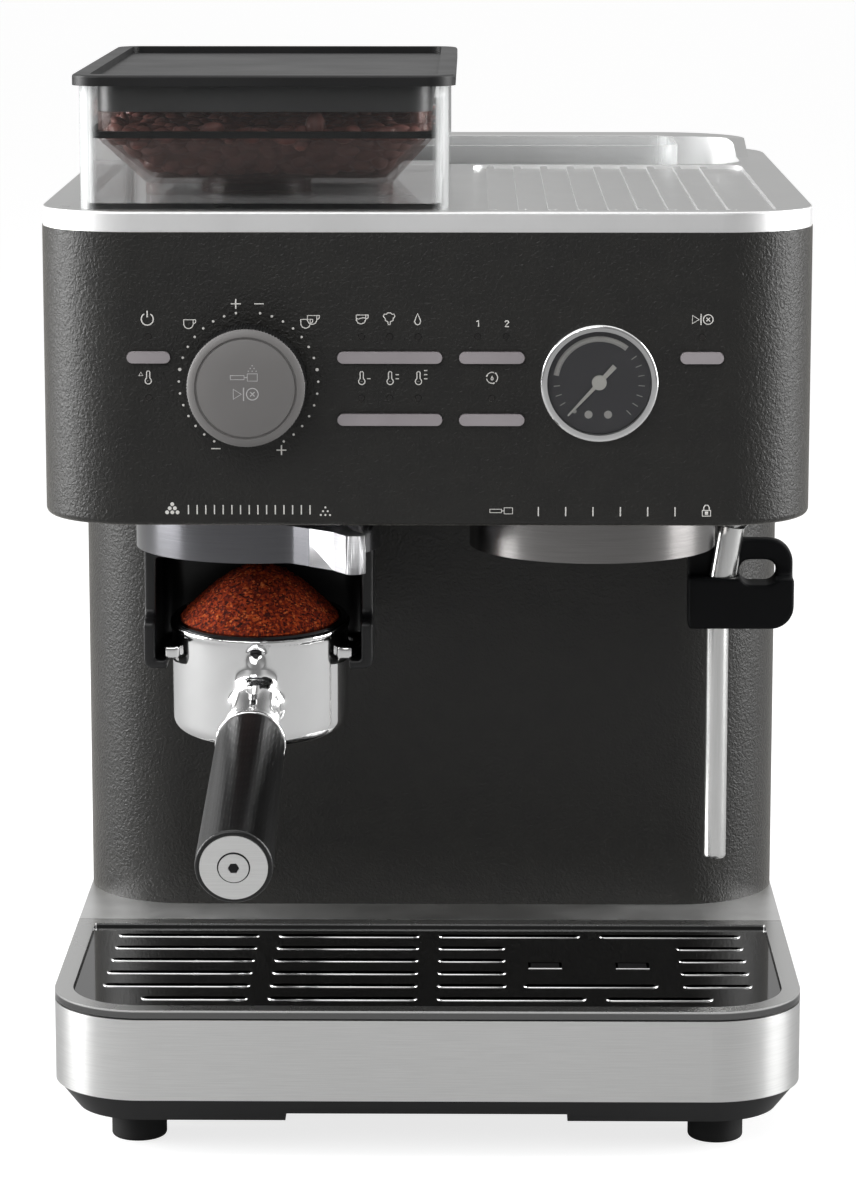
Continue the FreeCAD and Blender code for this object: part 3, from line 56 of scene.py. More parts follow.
# Places and sizes shared by several pieces, in mm; the grinder stands behind the dose knob
KNOB_X, KNOB_Z = -64.5, 293.8
KNOB_FRONT = -20.0
GAUGE_X, GAUGE_Z = 62.8, 293.5
GRINDER_Y = 70.0
PRINT_LIFT = 0.04
GRILLE_RECESS = 1.5

# Turns in degrees: the handle falls towards its end, the grind lever points right of front
HANDLE_SLOPE = 9.23
LEVER_TURN = 30.0


def place(x, y, z):
    """A point in mm behind the head's front plane, as metres in the part's frame."""
    return Vector((x * MM, FRONT_Y + y * MM, z * MM))


def linear(code):
    """An sRGB hex colour as the linear colour that Blender's sockets take."""
    channels = [int(code[i:i + 2], 16) / 255 for i in (1, 3, 5)]
    mixed = [c / 12.92 if c <= 0.04045 else ((c + 0.055) / 1.055) ** 2.4 for c in channels]
    return (*mixed, 1.0)


def node(tree, kind, sockets=None, stops=(), **settings):
    """Adds a node, sets its properties and colour stops, and gives its sockets values or links."""
    made = tree.nodes.new(kind)
    for name, value in settings.items():
        setattr(made, name, value)
    for name, value in (sockets or {}).items():
        if isinstance(value, bpy.types.NodeSocket):
            tree.links.new(value, made.inputs[name])
        else:
            made.inputs[name].default_value = value
    for index, (position, code) in enumerate(stops):
        if index > 1:
            made.color_ramp.elements.new(position)
        made.color_ramp.elements[index].position = position
        made.color_ramp.elements[index].color = linear(code)
    return made


def start(name, **sockets):
    """A new material with its main shader's constant values set."""
    material = bpy.data.materials.new(name)
    material.use_nodes = True
    tree = material.node_tree
    shader = tree.nodes["Principled BSDF"]
    for socket, value in sockets.items():
        shader.inputs[socket.replace("_", " ")].default_value = value
    return material, tree, shader


# Finishes

def pebbled_paint():
    """Textured powder coat on steel: dark, with small soft pebbles and a warm sheen edge on."""
    pebble = 1.15
    material, tree, shader = start("textured_powder_coat", IOR=1.5, Roughness=0.42,
                                   Specular_IOR_Level=0.5, Sheen_Weight=0.4,
                                   Sheen_Roughness=0.35, Sheen_Tint=linear("#dedad0"))
    where = node(tree, "ShaderNodeTexCoord").outputs["Object"]
    grit = node(tree, "ShaderNodeTexNoise", {"Vector": where, "Scale": 1 / (pebble * MM),
                                             "Detail": 1.5, "Distortion": 0.6})
    blotch = node(tree, "ShaderNodeTexNoise", {"Vector": where, "Scale": 1 / (9 * MM)})
    bump = node(tree, "ShaderNodeBump", {"Height": grit.outputs["Fac"], "Strength": 0.8,
                                         "Distance": 0.4 * MM})
    colour = node(tree, "ShaderNodeValToRGB", {"Fac": blotch.outputs["Fac"]},
                  stops=((0.3, "#12110f"), (0.7, "#181714")))
    tree.links.new(colour.outputs["Color"], shader.inputs["Base Color"])
    tree.links.new(bump.outputs["Normal"], shader.inputs["Normal"])
    return material


def brushed_metal(name, dark, pale, low, high, run, **gloss):
    """Sheet or bar metal brushed along the axes of its run: fine lines, broad soft reflections.

    Real brush lines are about 0.1 mm apart; they are drawn wider so that they show."""
    line, line_length, depth = 0.35, 21.0, 0.02
    material, tree, shader = start(name, Metallic=1.0, **gloss)
    where = node(tree, "ShaderNodeTexCoord").outputs["Object"]
    stretch = [1 / ((line_length if axis in run else line) * MM) for axis in "XYZ"]
    mapped = node(tree, "ShaderNodeMapping", {"Vector": where, "Scale": stretch})
    lines = node(tree, "ShaderNodeTexNoise", {"Vector": mapped.outputs["Vector"], "Scale": 1.0,
                                              "Detail": 2.0, "Roughness": 0.6})
    colour = node(tree, "ShaderNodeValToRGB", {"Fac": lines.outputs["Fac"]},
                  stops=((0.25, dark), (0.75, pale)))
    rough = node(tree, "ShaderNodeMapRange", {"Value": lines.outputs["Fac"], "To Min": low,
                                              "To Max": high})
    bump = node(tree, "ShaderNodeBump", {"Height": lines.outputs["Fac"], "Strength": 0.25,
                                         "Distance": depth * MM})
    tree.links.new(colour.outputs["Color"], shader.inputs["Base Color"])
    tree.links.new(rough.outputs["Result"], shader.inputs["Roughness"])
    tree.links.new(bump.outputs["Normal"], shader.inputs["Normal"])
    return material


def polished_metal(name, dark, pale, low, high):
    """Polished or plated metal: clear reflections with faint handling haze in broad patches."""
    patch = 30.0
    material, tree, shader = start(name, Metallic=1.0)
    where = node(tree, "ShaderNodeTexCoord").outputs["Object"]
    haze = node(tree, "ShaderNodeTexNoise", {"Vector": where, "Scale": 1 / (patch * MM),
                                             "Detail": 4.0})
    colour = node(tree, "ShaderNodeValToRGB", {"Fac": haze.outputs["Fac"]},
                  stops=((0.3, dark), (0.7, pale)))
    rough = node(tree, "ShaderNodeMapRange", {"Value": haze.outputs["Fac"], "From Min": 0.3,
                                              "From Max": 0.7, "To Min": low, "To Max": high})
    tree.links.new(colour.outputs["Color"], shader.inputs["Base Color"])
    tree.links.new(rough.outputs["Result"], shader.inputs["Roughness"])
    return material


def satin_top():
    """Pressed stainless plate: satin on its top faces, its drawn edge painted paler than the top
    as a painted highlight.
    """
    material, tree, shader = start("satin_stainless", Metallic=1.0)
    where = node(tree, "ShaderNodeTexCoord")
    facing = node(tree, "ShaderNodeSeparateXYZ", {"Vector": where.outputs["Normal"]})
    haze = node(tree, "ShaderNodeTexNoise", {"Vector": where.outputs["Object"],
                                             "Scale": 1 / (30 * MM), "Detail": 4.0})
    # Upright faces get the paler colour: a painted highlight on the edge band
    colour = node(tree, "ShaderNodeValToRGB", {"Fac": facing.outputs["Z"]},
                  stops=((0.3, "#fafafa"), (0.9, "#c2c2c1")))
    satin = node(tree, "ShaderNodeMapRange", {"Value": facing.outputs["Z"], "From Min": 0.3,
                                              "From Max": 0.9, "To Min": 0.4, "To Max": 0.24})
    rough = node(tree, "ShaderNodeMath", {0: haze.outputs["Fac"], 1: 0.12,
                                          2: satin.outputs["Result"]}, operation="MULTIPLY_ADD")
    tree.links.new(colour.outputs["Color"], shader.inputs["Base Color"])
    tree.links.new(rough.outputs["Value"], shader.inputs["Roughness"])
    return material


def grille_steel():
    """Stamped stainless grille: satin rim, and a mirror-polished floor painted darker than the rim
    as painted shade.
    """
    material, tree, shader = start("stamped_stainless_grille", Metallic=1.0)
    where = node(tree, "ShaderNodeTexCoord").outputs["Object"]
    height = node(tree, "ShaderNodeSeparateXYZ", {"Vector": where})
    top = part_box("drip_grille")[1].z
    rim = node(tree, "ShaderNodeMapRange", {"Value": height.outputs["Z"],
                                            "From Min": top - GRILLE_RECESS * MM * 0.7,
                                            "From Max": top - GRILLE_RECESS * MM * 0.3})
    smear = node(tree, "ShaderNodeTexNoise", {"Vector": where, "Scale": 1 / (25 * MM),
                                              "Detail": 3.0})
    # The recessed floor gets the dark colour: painted shade in the grille's recess
    colour = node(tree, "ShaderNodeValToRGB", {"Fac": rim.outputs["Result"]},
                  stops=((0.2, "#6e6e6e"), (0.8, "#dededd")))
    polish = node(tree, "ShaderNodeMapRange", {"Value": rim.outputs["Result"], "To Min": 0.02,
                                               "To Max": 0.24})
    rough = node(tree, "ShaderNodeMath", {0: smear.outputs["Fac"], 1: 0.06,
                                          2: polish.outputs["Result"]}, operation="MULTIPLY_ADD")
    tree.links.new(colour.outputs["Color"], shader.inputs["Base Color"])
    tree.links.new(rough.outputs["Value"], shader.inputs["Roughness"])
    return material


def moulded_plastic(name, dark, pale, low, high, grain=0.6, **gloss):
    """Moulded ABS, nylon or rubber: even colour and a fine spark-eroded grain."""
    material, tree, shader = start(name, IOR=1.5, **gloss)
    where = node(tree, "ShaderNodeTexCoord").outputs["Object"]
    speck = node(tree, "ShaderNodeTexNoise", {"Vector": where, "Scale": 1 / (grain * MM),
                                              "Detail": 2.0})
    cloud = node(tree, "ShaderNodeTexNoise", {"Vector": where, "Scale": 1 / (40 * MM)})
    colour = node(tree, "ShaderNodeValToRGB", {"Fac": cloud.outputs["Fac"]},
                  stops=((0.3, dark), (0.7, pale)))
    rough = node(tree, "ShaderNodeMapRange", {"Value": cloud.outputs["Fac"], "From Min": 0.3,
                                              "From Max": 0.7, "To Min": low, "To Max": high})
    bump = node(tree, "ShaderNodeBump", {"Height": speck.outputs["Fac"], "Strength": 0.3,
                                         "Distance": 0.04 * MM})
    tree.links.new(colour.outputs["Color"], shader.inputs["Base Color"])
    tree.links.new(rough.outputs["Result"], shader.inputs["Roughness"])
    tree.links.new(bump.outputs["Normal"], shader.inputs["Normal"])
    return material


def clear_plastic(name, pale, tint, face_on, edge_on, full):
    """Moulded clear copolyester: seen through face on, brighter and denser along its edges, where
    besides its real gloss its pale colour is a painted reflection of the bright surroundings.
    """
    material, tree, shader = start(name, IOR=1.5, Roughness=0.04)
    where = node(tree, "ShaderNodeTexCoord").outputs["Object"]
    flow = node(tree, "ShaderNodeTexNoise", {"Vector": where, "Scale": 1 / (50 * MM)})
    colour = node(tree, "ShaderNodeValToRGB", {"Fac": flow.outputs["Fac"]},
                  stops=((0.3, tint), (0.7, pale)))
    # Cover rises towards grazing edges, where the pale colour shows as a painted reflection
    view = node(tree, "ShaderNodeLayerWeight", {"Blend": 0.5})
    cover = node(tree, "ShaderNodeMapRange", {"Value": view.outputs["Facing"], "From Min": 0.03,
                                              "From Max": full, "To Min": face_on,
                                              "To Max": edge_on})
    tree.links.new(colour.outputs["Color"], shader.inputs["Base Color"])
    tree.links.new(cover.outputs["Result"], shader.inputs["Alpha"])
    return material


def roasted_bean():
    """Medium-roast coffee bean: oily sheen over a brown skin that varies from bean to bean."""
    material, tree, shader = start("roasted_coffee_bean", Roughness=0.38,
                                   Specular_IOR_Level=0.5)
    where = node(tree, "ShaderNodeTexCoord").outputs["Object"]
    tone = node(tree, "ShaderNodeTexNoise", {"Vector": where, "Scale": 1 / (9 * MM),
                                             "Detail": 2.0})
    skin = node(tree, "ShaderNodeTexNoise", {"Vector": where, "Scale": 1 / (1.2 * MM)})
    colour = node(tree, "ShaderNodeValToRGB", {"Fac": tone.outputs["Fac"]},
                  stops=((0.3, "#70463e"), (0.7, "#9c6a62")))
    bump = node(tree, "ShaderNodeBump", {"Height": skin.outputs["Fac"], "Strength": 0.2,
                                         "Distance": 0.2 * MM})
    tree.links.new(colour.outputs["Color"], shader.inputs["Base Color"])
    tree.links.new(bump.outputs["Normal"], shader.inputs["Normal"])
    return material


def ground_bean():
    """Fresh grounds: rust-brown grains under a millimetre wide with dark and pale specks."""
    grain = 0.75
    material, tree, shader = start("ground_coffee", Roughness=0.85, Specular_IOR_Level=0.25)
    where = node(tree, "ShaderNodeTexCoord").outputs["Object"]
    cells = node(tree, "ShaderNodeTexVoronoi", {"Vector": where, "Scale": 1 / (grain * MM)})
    clumps = node(tree, "ShaderNodeTexNoise", {"Vector": where, "Scale": 1 / (2.6 * MM),
                                               "Detail": 5.0, "Roughness": 0.75})
    split = node(tree, "ShaderNodeSeparateColor", {"Color": cells.outputs["Color"]})
    mixed = node(tree, "ShaderNodeMix", {"Factor": 0.5, "A": split.outputs["Red"],
                                         "B": clumps.outputs["Fac"]}, data_type="FLOAT")
    colour = node(tree, "ShaderNodeValToRGB", {"Fac": mixed.outputs["Result"]},
                  stops=((0.22, "#1a0703"), (0.45, "#6a1a04"), (0.68, "#a4380a"),
                         (0.85, "#da7c3c")))
    bump = node(tree, "ShaderNodeBump", {"Height": mixed.outputs["Result"], "Strength": 1.0,
                                         "Distance": 0.9 * MM})
    tree.links.new(colour.outputs["Color"], shader.inputs["Base Color"])
    tree.links.new(bump.outputs["Normal"], shader.inputs["Normal"])
    return material


def dotted_grip():
    """Soft-touch thermoplastic: black, with a raised dot every 1.2 mm round the handle."""
    pitch = 1.2
    material, tree, shader = start("soft_touch_grip", IOR=1.5, Roughness=0.3)
    where = node(tree, "ShaderNodeTexCoord").outputs["Object"]
    dots = node(tree, "ShaderNodeTexVoronoi", {"Vector": where, "Scale": 1 / (pitch * MM),
                                               "Randomness": 0.0})
    cloud = node(tree, "ShaderNodeTexNoise", {"Vector": where, "Scale": 1 / (25 * MM)})
    height = node(tree, "ShaderNodeMapRange", {"Value": dots.outputs["Distance"],
                                               "From Min": 0.2, "From Max": 0.45,
                                               "To Min": 1.0, "To Max": 0.0})
    bump = node(tree, "ShaderNodeBump", {"Height": height.outputs["Result"], "Strength": 0.35,
                                         "Distance": 0.12 * MM})
    colour = node(tree, "ShaderNodeValToRGB", {"Fac": cloud.outputs["Fac"]},
                  stops=((0.3, "#060606"), (0.7, "#0a0a0a")))
    tree.links.new(colour.outputs["Color"], shader.inputs["Base Color"])
    tree.links.new(bump.outputs["Normal"], shader.inputs["Normal"])
    return material


finishes = {
    "charcoal_paint": pebbled_paint(),
    "charcoal_plastic": moulded_plastic("moulded_abs_charcoal", "#1b1b1b", "#222222", 0.5, 0.6),
    "brushed_steel": brushed_metal("brushed_stainless", "#dededd", "#eaeae9", 0.26, 0.36, "XY",
                                   Anisotropic=0.7, Anisotropic_Rotation=0.25),
    "polished_steel": polished_metal("polished_stainless", "#c4c4c3", "#d2d2d1", 0.03, 0.06),
    "gunmetal": brushed_metal("gunmetal_lacquered_zinc", "#545458", "#5e5e62", 0.14, 0.2, "XY",
                              Coat_Weight=1.0, Coat_Roughness=0.1),
    "chrome": polished_metal("chrome_plate", "#e8e8e8", "#f2f2f2", 0.05, 0.1),
    "black_plastic": moulded_plastic("moulded_abs_black", "#0f0f10", "#161617", 0.28, 0.38),
    "grey_cap": moulded_plastic("satin_painted_abs", "#979194", "#a39da0", 0.36, 0.44),
    "dial_face": moulded_plastic("printed_aluminium_dial", "#4d4c50", "#535256", 0.5, 0.6),
    "white_needle": moulded_plastic("white_enamelled_steel", "#eceae4", "#f4f2ec", 0.4, 0.5),
    "clear_plastic": clear_plastic("clear_copolyester", "#e6e8e8", "#dcdede", 0.015, 0.75, 0.42),
    "smoked_plastic": clear_plastic("smoked_copolyester", "#8c7874", "#7c6864", 0.05, 0.4, 0.8),
    "indicator_lens": moulded_plastic("dark_acrylic_lens", "#1d1c1b", "#262423", 0.15, 0.2),
    "silicone": moulded_plastic("moulded_silicone", "#050608", "#090a0c", 0.5, 0.6,
                                Specular_IOR_Level=0.16),
    "foot_rubber": moulded_plastic("nitrile_rubber", "#0d0d0d", "#141414", 0.7, 0.85),
    "coffee_bean": roasted_bean(),
    "ground_bean": ground_bean(),
    "board_laminate": moulded_plastic("glass_epoxy_laminate", "#14402a", "#1a4d33", 0.4, 0.5),
    "burr_steel": brushed_metal("ground_tool_steel", "#8a8b8d", "#a2a3a5", 0.25, 0.35, "Z"),
    "burr_alloy": moulded_plastic("cast_zinc_alloy", "#7e7f81", "#8d8e90", 0.45, 0.6),
    "gear_nylon": moulded_plastic("moulded_nylon", "#d4cfbf", "#dfdacb", 0.4, 0.5),
    "bearing_bronze": polished_metal("sintered_bronze", "#8c6a3c", "#a07a48", 0.3, 0.4),
    "motor_steel": polished_metal("zinc_plated_steel", "#9b9c9f", "#b0b1b4", 0.28, 0.4),
}

for part in nodes.values():
    slot_name = part.material_slots[0].material.name.split(".")[0]
    part.material_slots[0].material = finishes[slot_name]

white_ink = moulded_plastic("white_screen_ink", "#dcdad6", "#e6e4e0", 0.5, 0.6, grain=0.3)
knob_paint = moulded_plastic("warm_grey_satin_paint", "#72706f", "#787675", 0.4, 0.48)
pale_ink = moulded_plastic("pale_grey_screen_ink", "#b5b3b4", "#bebcbd", 0.5, 0.6, grain=0.3)
# Bright satin metal over the grind lever's end: a painted highlight
lever_highlight_metal = brushed_metal("painted_highlight_nickel_plate", "#dcdcde", "#eaeaec", 0.34, 0.42, "XY")
# Dark steel, also used as painted shade in the cap's hex socket
blackened_steel_and_painted_shade = polished_metal("blackened_steel_and_painted_shade", "#2b2b2c", "#363637", 0.2, 0.28)

# Nodes whose own finish differs from their slot's
own_finishes = {
    "portafilter_handle": dotted_grip(),
    "group_collar": brushed_metal("satin_dark_steel", "#7c7a79", "#8c8a89", 0.2, 0.28, "XY"),
    "steam_tube": brushed_metal("drawn_stainless_tube", "#d8d8d7", "#e8e8e7", 0.16, 0.24, "Z"),
    "steam_tip": brushed_metal("drawn_stainless_tip", "#d8d8d7", "#e8e8e7", 0.16, 0.24, "Z"),
    "handle_end_cap": brushed_metal("satin_stainless_cap", "#e2e2e1", "#eeeeed", 0.3, 0.4, "X"),
    "hopper_seal": moulded_plastic("moulded_silicone_seal", "#0a0a0a", "#101010", 0.5, 0.6,
                                   Specular_IOR_Level=0.3),
    "filter_basket": blackened_steel_and_painted_shade,
    "top_plate": satin_top(),
    "drip_grille": grille_steel(),
    "lid_plug": moulded_plastic("smoked_abs_plug", "#3a3a3a", "#424242", 0.3, 0.4),
    "hopper_lid": moulded_plastic("moulded_abs_lid", "#0c0c0d", "#101011", 0.4, 0.5,
                                  Specular_IOR_Level=0.44),
}
for name, finish in own_finishes.items():
    nodes[name].material_slots[0].material = finish


# Pieces

def take_on(piece, name, body, slot_name, material, *stands_for):
    """Names a finished piece, gives it its finish and fastens it to its CAD body."""
    piece.name = name
    piece.data.name = name
    piece.data.materials.clear()
    piece.data.materials.append(material)
    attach(piece, body)
    if stands_for:
        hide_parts(*stands_for)
    bpy.ops.object.select_all(action="DESELECT")


def only(piece):
    """Selects one piece and makes it the active one."""
    bpy.ops.object.select_all(action="DESELECT")
    piece.select_set(True)
    bpy.context.view_layer.objects.active = piece


def turned(rings, segments):
    """A solid turned about the Y axis from (radius, y) rings in mm, first and last one filled."""
    bpy.ops.object.select_all(action="DESELECT")
    first_radius, first_y = rings[0]
    bpy.ops.mesh.primitive_circle_add(vertices=segments, radius=first_radius * MM,
                                      fill_type="NGON", rotation=(math.pi / 2, 0, 0))
    piece = bpy.context.object
    bpy.ops.object.transform_apply(location=True, rotation=True, scale=True)
    bpy.ops.object.mode_set(mode="EDIT")
    bpy.ops.mesh.select_all(action="SELECT")
    bpy.ops.transform.translate(value=(0, first_y * MM, 0))
    radius, y = first_radius, first_y
    for next_radius, next_y in rings[1:]:
        bpy.ops.mesh.extrude_region_move(
            TRANSFORM_OT_translate={"value": (0, (next_y - y) * MM, 0)})
        share = next_radius / radius
        bpy.ops.transform.resize(value=(share, 1, share), center_override=(0, next_y * MM, 0))
        radius, y = next_radius, next_y
    bpy.ops.mesh.select_all(action="SELECT")
    bpy.ops.mesh.normals_make_consistent(inside=False)
    bpy.ops.object.mode_set(mode="OBJECT")
    return piece


def settle(piece, x, y, z):
    """Moves a piece's mesh to its place in mm, with the object left at the origin."""
    piece.data.transform(Matrix.Translation(place(x, y, z)))


def smooth(piece, angle):
    """Shades a piece smooth, apart from edges sharper than the angle in degrees."""
    only(piece)
    bpy.ops.object.shade_smooth_by_angle(angle=math.radians(angle))


# Printed signs: strokes are (width, closed, points), spots are (x, z, radius), all in mm

def arc(x, z, radius, start_deg, end_deg, steps=14):
    """Points of an arc, counted anticlockwise from the right."""
    turn = [math.radians(start_deg + (end_deg - start_deg) * i / steps) for i in range(steps + 1)]
    return [(x + radius * math.cos(a), z + radius * math.sin(a)) for a in turn]


def moved(strokes, x, z, size):
    """A sign's strokes set about a point and scaled, each as wide as before."""
    return [(width, closed, [(x + px * size, z + pz * size) for px, pz in points])
            for width, closed, points in strokes]


def tubes(name, lines, depth, resolution):
    """One mesh of round tubes along (radius factor, closed, points) lines, in metres."""
    curve = bpy.data.curves.new(name, "CURVE")
    curve.dimensions = "3D"
    curve.bevel_depth = depth
    curve.bevel_resolution = resolution
    curve.use_fill_caps = True
    for radius, closed, points in lines:
        line = curve.splines.new("POLY")
        line.points.add(len(points) - 1)
        line.use_cyclic_u = closed
        for point, spot in zip(line.points, points):
            point.co = (*spot, 1)
            point.radius = radius
    piece = bpy.data.objects.new(name, curve)
    bpy.context.scene.collection.objects.link(piece)
    only(piece)
    bpy.ops.object.convert(target="MESH")
    return bpy.context.object


def print_signs(name, strokes, spots, y, body, slot_name, ink):
    """One flat ink layer of strokes and spots, lying on a plane that faces the front."""
    flatness = 0.1
    lines = [(width, closed, [(x * MM, 0, z * MM) for x, z in points])
             for width, closed, points in strokes]
    piece = tubes(name, lines, MM / 2, 1)
    bpy.ops.object.mode_set(mode="EDIT")
    for x, z, radius in spots:
        bpy.ops.mesh.primitive_uv_sphere_add(segments=12, ring_count=6, radius=radius * MM,
                                             location=(x * MM, 0, z * MM))
    bpy.ops.mesh.select_all(action="SELECT")
    bpy.ops.transform.resize(value=(1, flatness, 1), center_override=(0, 0, 0))
    bpy.ops.object.mode_set(mode="OBJECT")
    settle(piece, 0, y, 0)
    take_on(piece, name, body, slot_name, ink)


cup_sign = [
    (0.42, True, [(-2.1, 1.5), (1.3, 1.5), (1.3, -0.3), (0.8, -1.3), (-0.1, -1.7), (-0.7, -1.7),
                  (-1.6, -1.3), (-2.1, -0.3)]),
    (0.42, False, [(1.3, 1.5), (2.2, 1.5), (2.2, 0.6), (1.8, 0.2), (1.3, 0.2)]),
]
level_sign = [(0.36, False, [(-2.1, 0.2), (-1.3, 0.0), (-0.5, 0.3), (0.4, 0.5), (1.3, 0.4)])]
power_sign = [(0.5, False, arc(0, -0.4, 2.2, 120, 420)), (0.5, False, [(0, 0.3), (0, 2.7)])]
thermometer_sign = [
    (0.42, False, arc(0, -1.3, 1.15, 120, 420)),
    (0.42, False, [(-0.58, -0.3), (-0.58, 1.9), (-0.3, 2.3), (0.3, 2.3), (0.58, 1.9),
                   (0.58, -0.3)]),
    (0.9, False, [(0, -1.3), (0, -1.25)]),
]
dash_signs = [[(0.42, False, [(2.0, z), (3.2, z)])] for z in (-0.3, 1.2, 2.7)]
delta_sign = [(0.36, True, [(-0.75, -0.5), (0.75, -0.5), (0, 0.8)])]
cloud_sign = [(0.42, True, [(-0.35, -2.1), (-0.5, -1.0), (-1.4, -0.6), (-1.5, 0.2), (-2.1, 0.9),
                            (-1.8, 1.7), (-1.0, 1.7), (-0.5, 2.2), (0.5, 2.2), (1.0, 1.7),
                            (1.8, 1.7), (2.1, 0.9), (1.5, 0.2), (1.4, -0.6), (0.5, -1.0),
                            (0.35, -2.1)])]
drop_sign = [(0.42, True, [(0, 2.1), (0.7, 0.4), (1.1, -0.8), (0.8, -1.7), (0, -2.1),
                           (-0.8, -1.7), (-1.1, -0.8), (-0.7, 0.4)])]
one_sign = [(0.55, False, [(-0.5, 0.75), (0.25, 1.1), (0.25, -1.1)])]
two_sign = [(0.55, False, [(-0.7, 0.6), (-0.3, 1.05), (0.35, 1.05), (0.65, 0.5), (-0.7, -1.05),
                           (0.75, -1.05)])]
cycle_sign = [
    (0.42, False, arc(0, 0, 2.0, 70, 160)),
    (0.42, False, arc(0, 0, 2.0, 190, 280)),
    (0.42, False, arc(0, 0, 2.0, 310, 400)),
    (0.6, False, [(1.0, 1.7), (1.7, 1.5)]),
    (0.6, False, [(-2.1, 0.4), (-1.7, 1.0)]),
    (0.6, False, [(0.3, -2.2), (0.9, -1.8)]),
]
start_sign = [
    (0.42, True, [(-3.7, 1.5), (-3.7, -1.5), (-1.3, 0)]),
    (0.42, False, [(-0.6, -2.0), (-0.6, 2.0)]),
    (0.42, False, arc(2.0, 0, 1.75, 0, 360, 24)),
    (0.42, False, [(1.35, -0.65), (2.65, 0.65)]),
    (0.42, False, [(1.35, 0.65), (2.65, -0.65)]),
]
plus_sign = [(0.5, False, [(-1.8, 0), (1.8, 0)]), (0.5, False, [(0, -1.8), (0, 1.8)])]
minus_sign = [(0.5, False, [(-1.7, 0), (1.7, 0)])]
filter_sign = [
    (0.36, True, [(0.6, 1.3), (4.0, 1.3), (4.0, -1.2), (0.6, -1.2)]),
    (0.36, True, [(-5.2, 0.7), (-0.5, 0.7), (-0.5, -0.7), (-5.2, -0.7)]),
    (0.36, False, [(-0.5, 0), (0.6, 0)]),
]
lock_sign = [
    (0.5, True, [(-1.5, 0.1), (1.5, 0.1), (1.5, -2.0), (-1.5, -2.0)]),
    (0.42, False, [(-1.0, 0.1), (-1.0, 1.2), (-0.5, 2.0), (0.5, 2.0), (1.0, 1.2), (1.0, 0.1)]),
    (1.5, False, [(-0.6, -0.95), (0.6, -0.95)]),
]

# Signs on the head's front: sign, x, z, size
PANEL_SIGNS = [
    (power_sign, -101.0, 316.9, 1.0),
    (thermometer_sign, -100.9, 295.3, 1.0),
    (delta_sign, -103.6, 296.4, 1.0),
    (cup_sign, -85.7, 314.8, 1.0),
    (cup_sign, -43.3, 315.0, 1.0),
    (cup_sign, -40.9, 316.4, 1.0),
    (plus_sign, -68.9, 322.1, 1.0),
    (minus_sign, -60.5, 322.1, 1.0),
    (minus_sign, -76.6, 269.2, 1.0),
    (plus_sign, -52.7, 268.7, 1.0),
    (cup_sign, -23.2, 316.6, 1.0),
    (level_sign, -23.2, 316.6, 1.0),
    (cloud_sign, -13.4, 316.7, 1.0),
    (drop_sign, -3.1, 316.6, 1.0),
    (sum(dash_signs[:1], thermometer_sign), -23.4, 295.2, 1.0),
    (sum(dash_signs[:2], thermometer_sign), -13.1, 295.2, 1.0),
    (sum(dash_signs[:3], thermometer_sign), -2.8, 295.2, 1.0),
    (one_sign, 18.7, 315.0, 1.0),
    (two_sign, 29.2, 315.0, 1.0),
    (cycle_sign, 23.9, 295.3, 1.0),
    (drop_sign, 23.9, 295.2, 0.35),
    (start_sign, 100.0, 316.6, 1.0),
    (filter_sign, 27.9, 246.4, 0.9),
    (lock_sign, 102.2, 246.6, 1.0),
]
# Rows of ticks over the grind lever and the brew group: how many, first x, last x, low z, high z
TICK_ROWS = [(15, -86.8, -42.4, 245.0, 248.4), (6, 40.9, 90.75, 244.5, 247.9)]
TICK_WIDTH = 0.45
# Ring of dots round the dose knob, with a larger one halfway down each side
DOT_RING = 25.3
DOT_STEP_DEG = 10
DOTS_PER_SIDE = 15
LARGE_DOT = 8
# Triangles of dots at the ends of the grind scale: x, top z, spacing across and down, radius
DOT_TRIANGLES = [(-92.7, 248.7, 1.9, 1.5, 0.72), (-36.8, 247.6, 1.7, 1.4, 0.38)]
TRIANGLE_ROWS = 3

panel = []
for sign, x, z, size in PANEL_SIGNS:
    panel += moved(sign, x, z, size)
for count, first, last, low, high in TICK_ROWS:
    for index in range(count):
        x = first + (last - first) * index / (count - 1)
        panel.append((TICK_WIDTH, False, [(x, low), (x, high)]))

dots = []
for step in range(1, DOTS_PER_SIDE + 1):
    for side in (-1, 1):
        around = math.radians(90 + side * DOT_STEP_DEG * step)
        dots.append((KNOB_X + DOT_RING * math.cos(around), KNOB_Z + DOT_RING * math.sin(around),
                     0.62 if step == LARGE_DOT else 0.45))
for row in range(TRIANGLE_ROWS):
    for spot in range(row + 1):
        for x, z, across, down, radius in DOT_TRIANGLES:
            dots.append((x + (spot - row / 2) * across, z - row * down, radius))

print_signs("panel_signs", panel, dots, -PRINT_LIFT, "machine", "white_needle", white_ink)

# Gauge scale on the dial: a broad arc, ticks by their angle, and the heads of its screws
ARC_WIDTH, ARC_RADIUS = 2.3, 15.8
DIAL_TICK_WIDTH = 0.32
DIAL_TICK_ENDS = (14.3, 16.6)
DIAL_TICKS_DEG = (185, 198, 211, 35.6, 22.5, 9, -4.6, -18.5, -32, -45.6)
DIAL_SCREWS = ((-3.8, -11.8, 1.5), (3.3, -11.8, 1.5), (-8.9, -10.6, 0.8))

dial_y = (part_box("gauge_dial")[0].y - FRONT_Y) / MM
scale = [(ARC_WIDTH, False, arc(GAUGE_X, GAUGE_Z, ARC_RADIUS, 171, 51, 40))]
for angle in DIAL_TICKS_DEG:
    right, up = math.cos(math.radians(angle)), math.sin(math.radians(angle))
    scale.append((DIAL_TICK_WIDTH, False,
                  [(GAUGE_X + right * reach, GAUGE_Z + up * reach) for reach in DIAL_TICK_ENDS]))
screws = [(GAUGE_X + x, GAUGE_Z + z, radius) for x, z, radius in DIAL_SCREWS]
print_signs("gauge_scale", scale, screws, dial_y - PRINT_LIFT, "machine", "white_needle",
            white_ink)

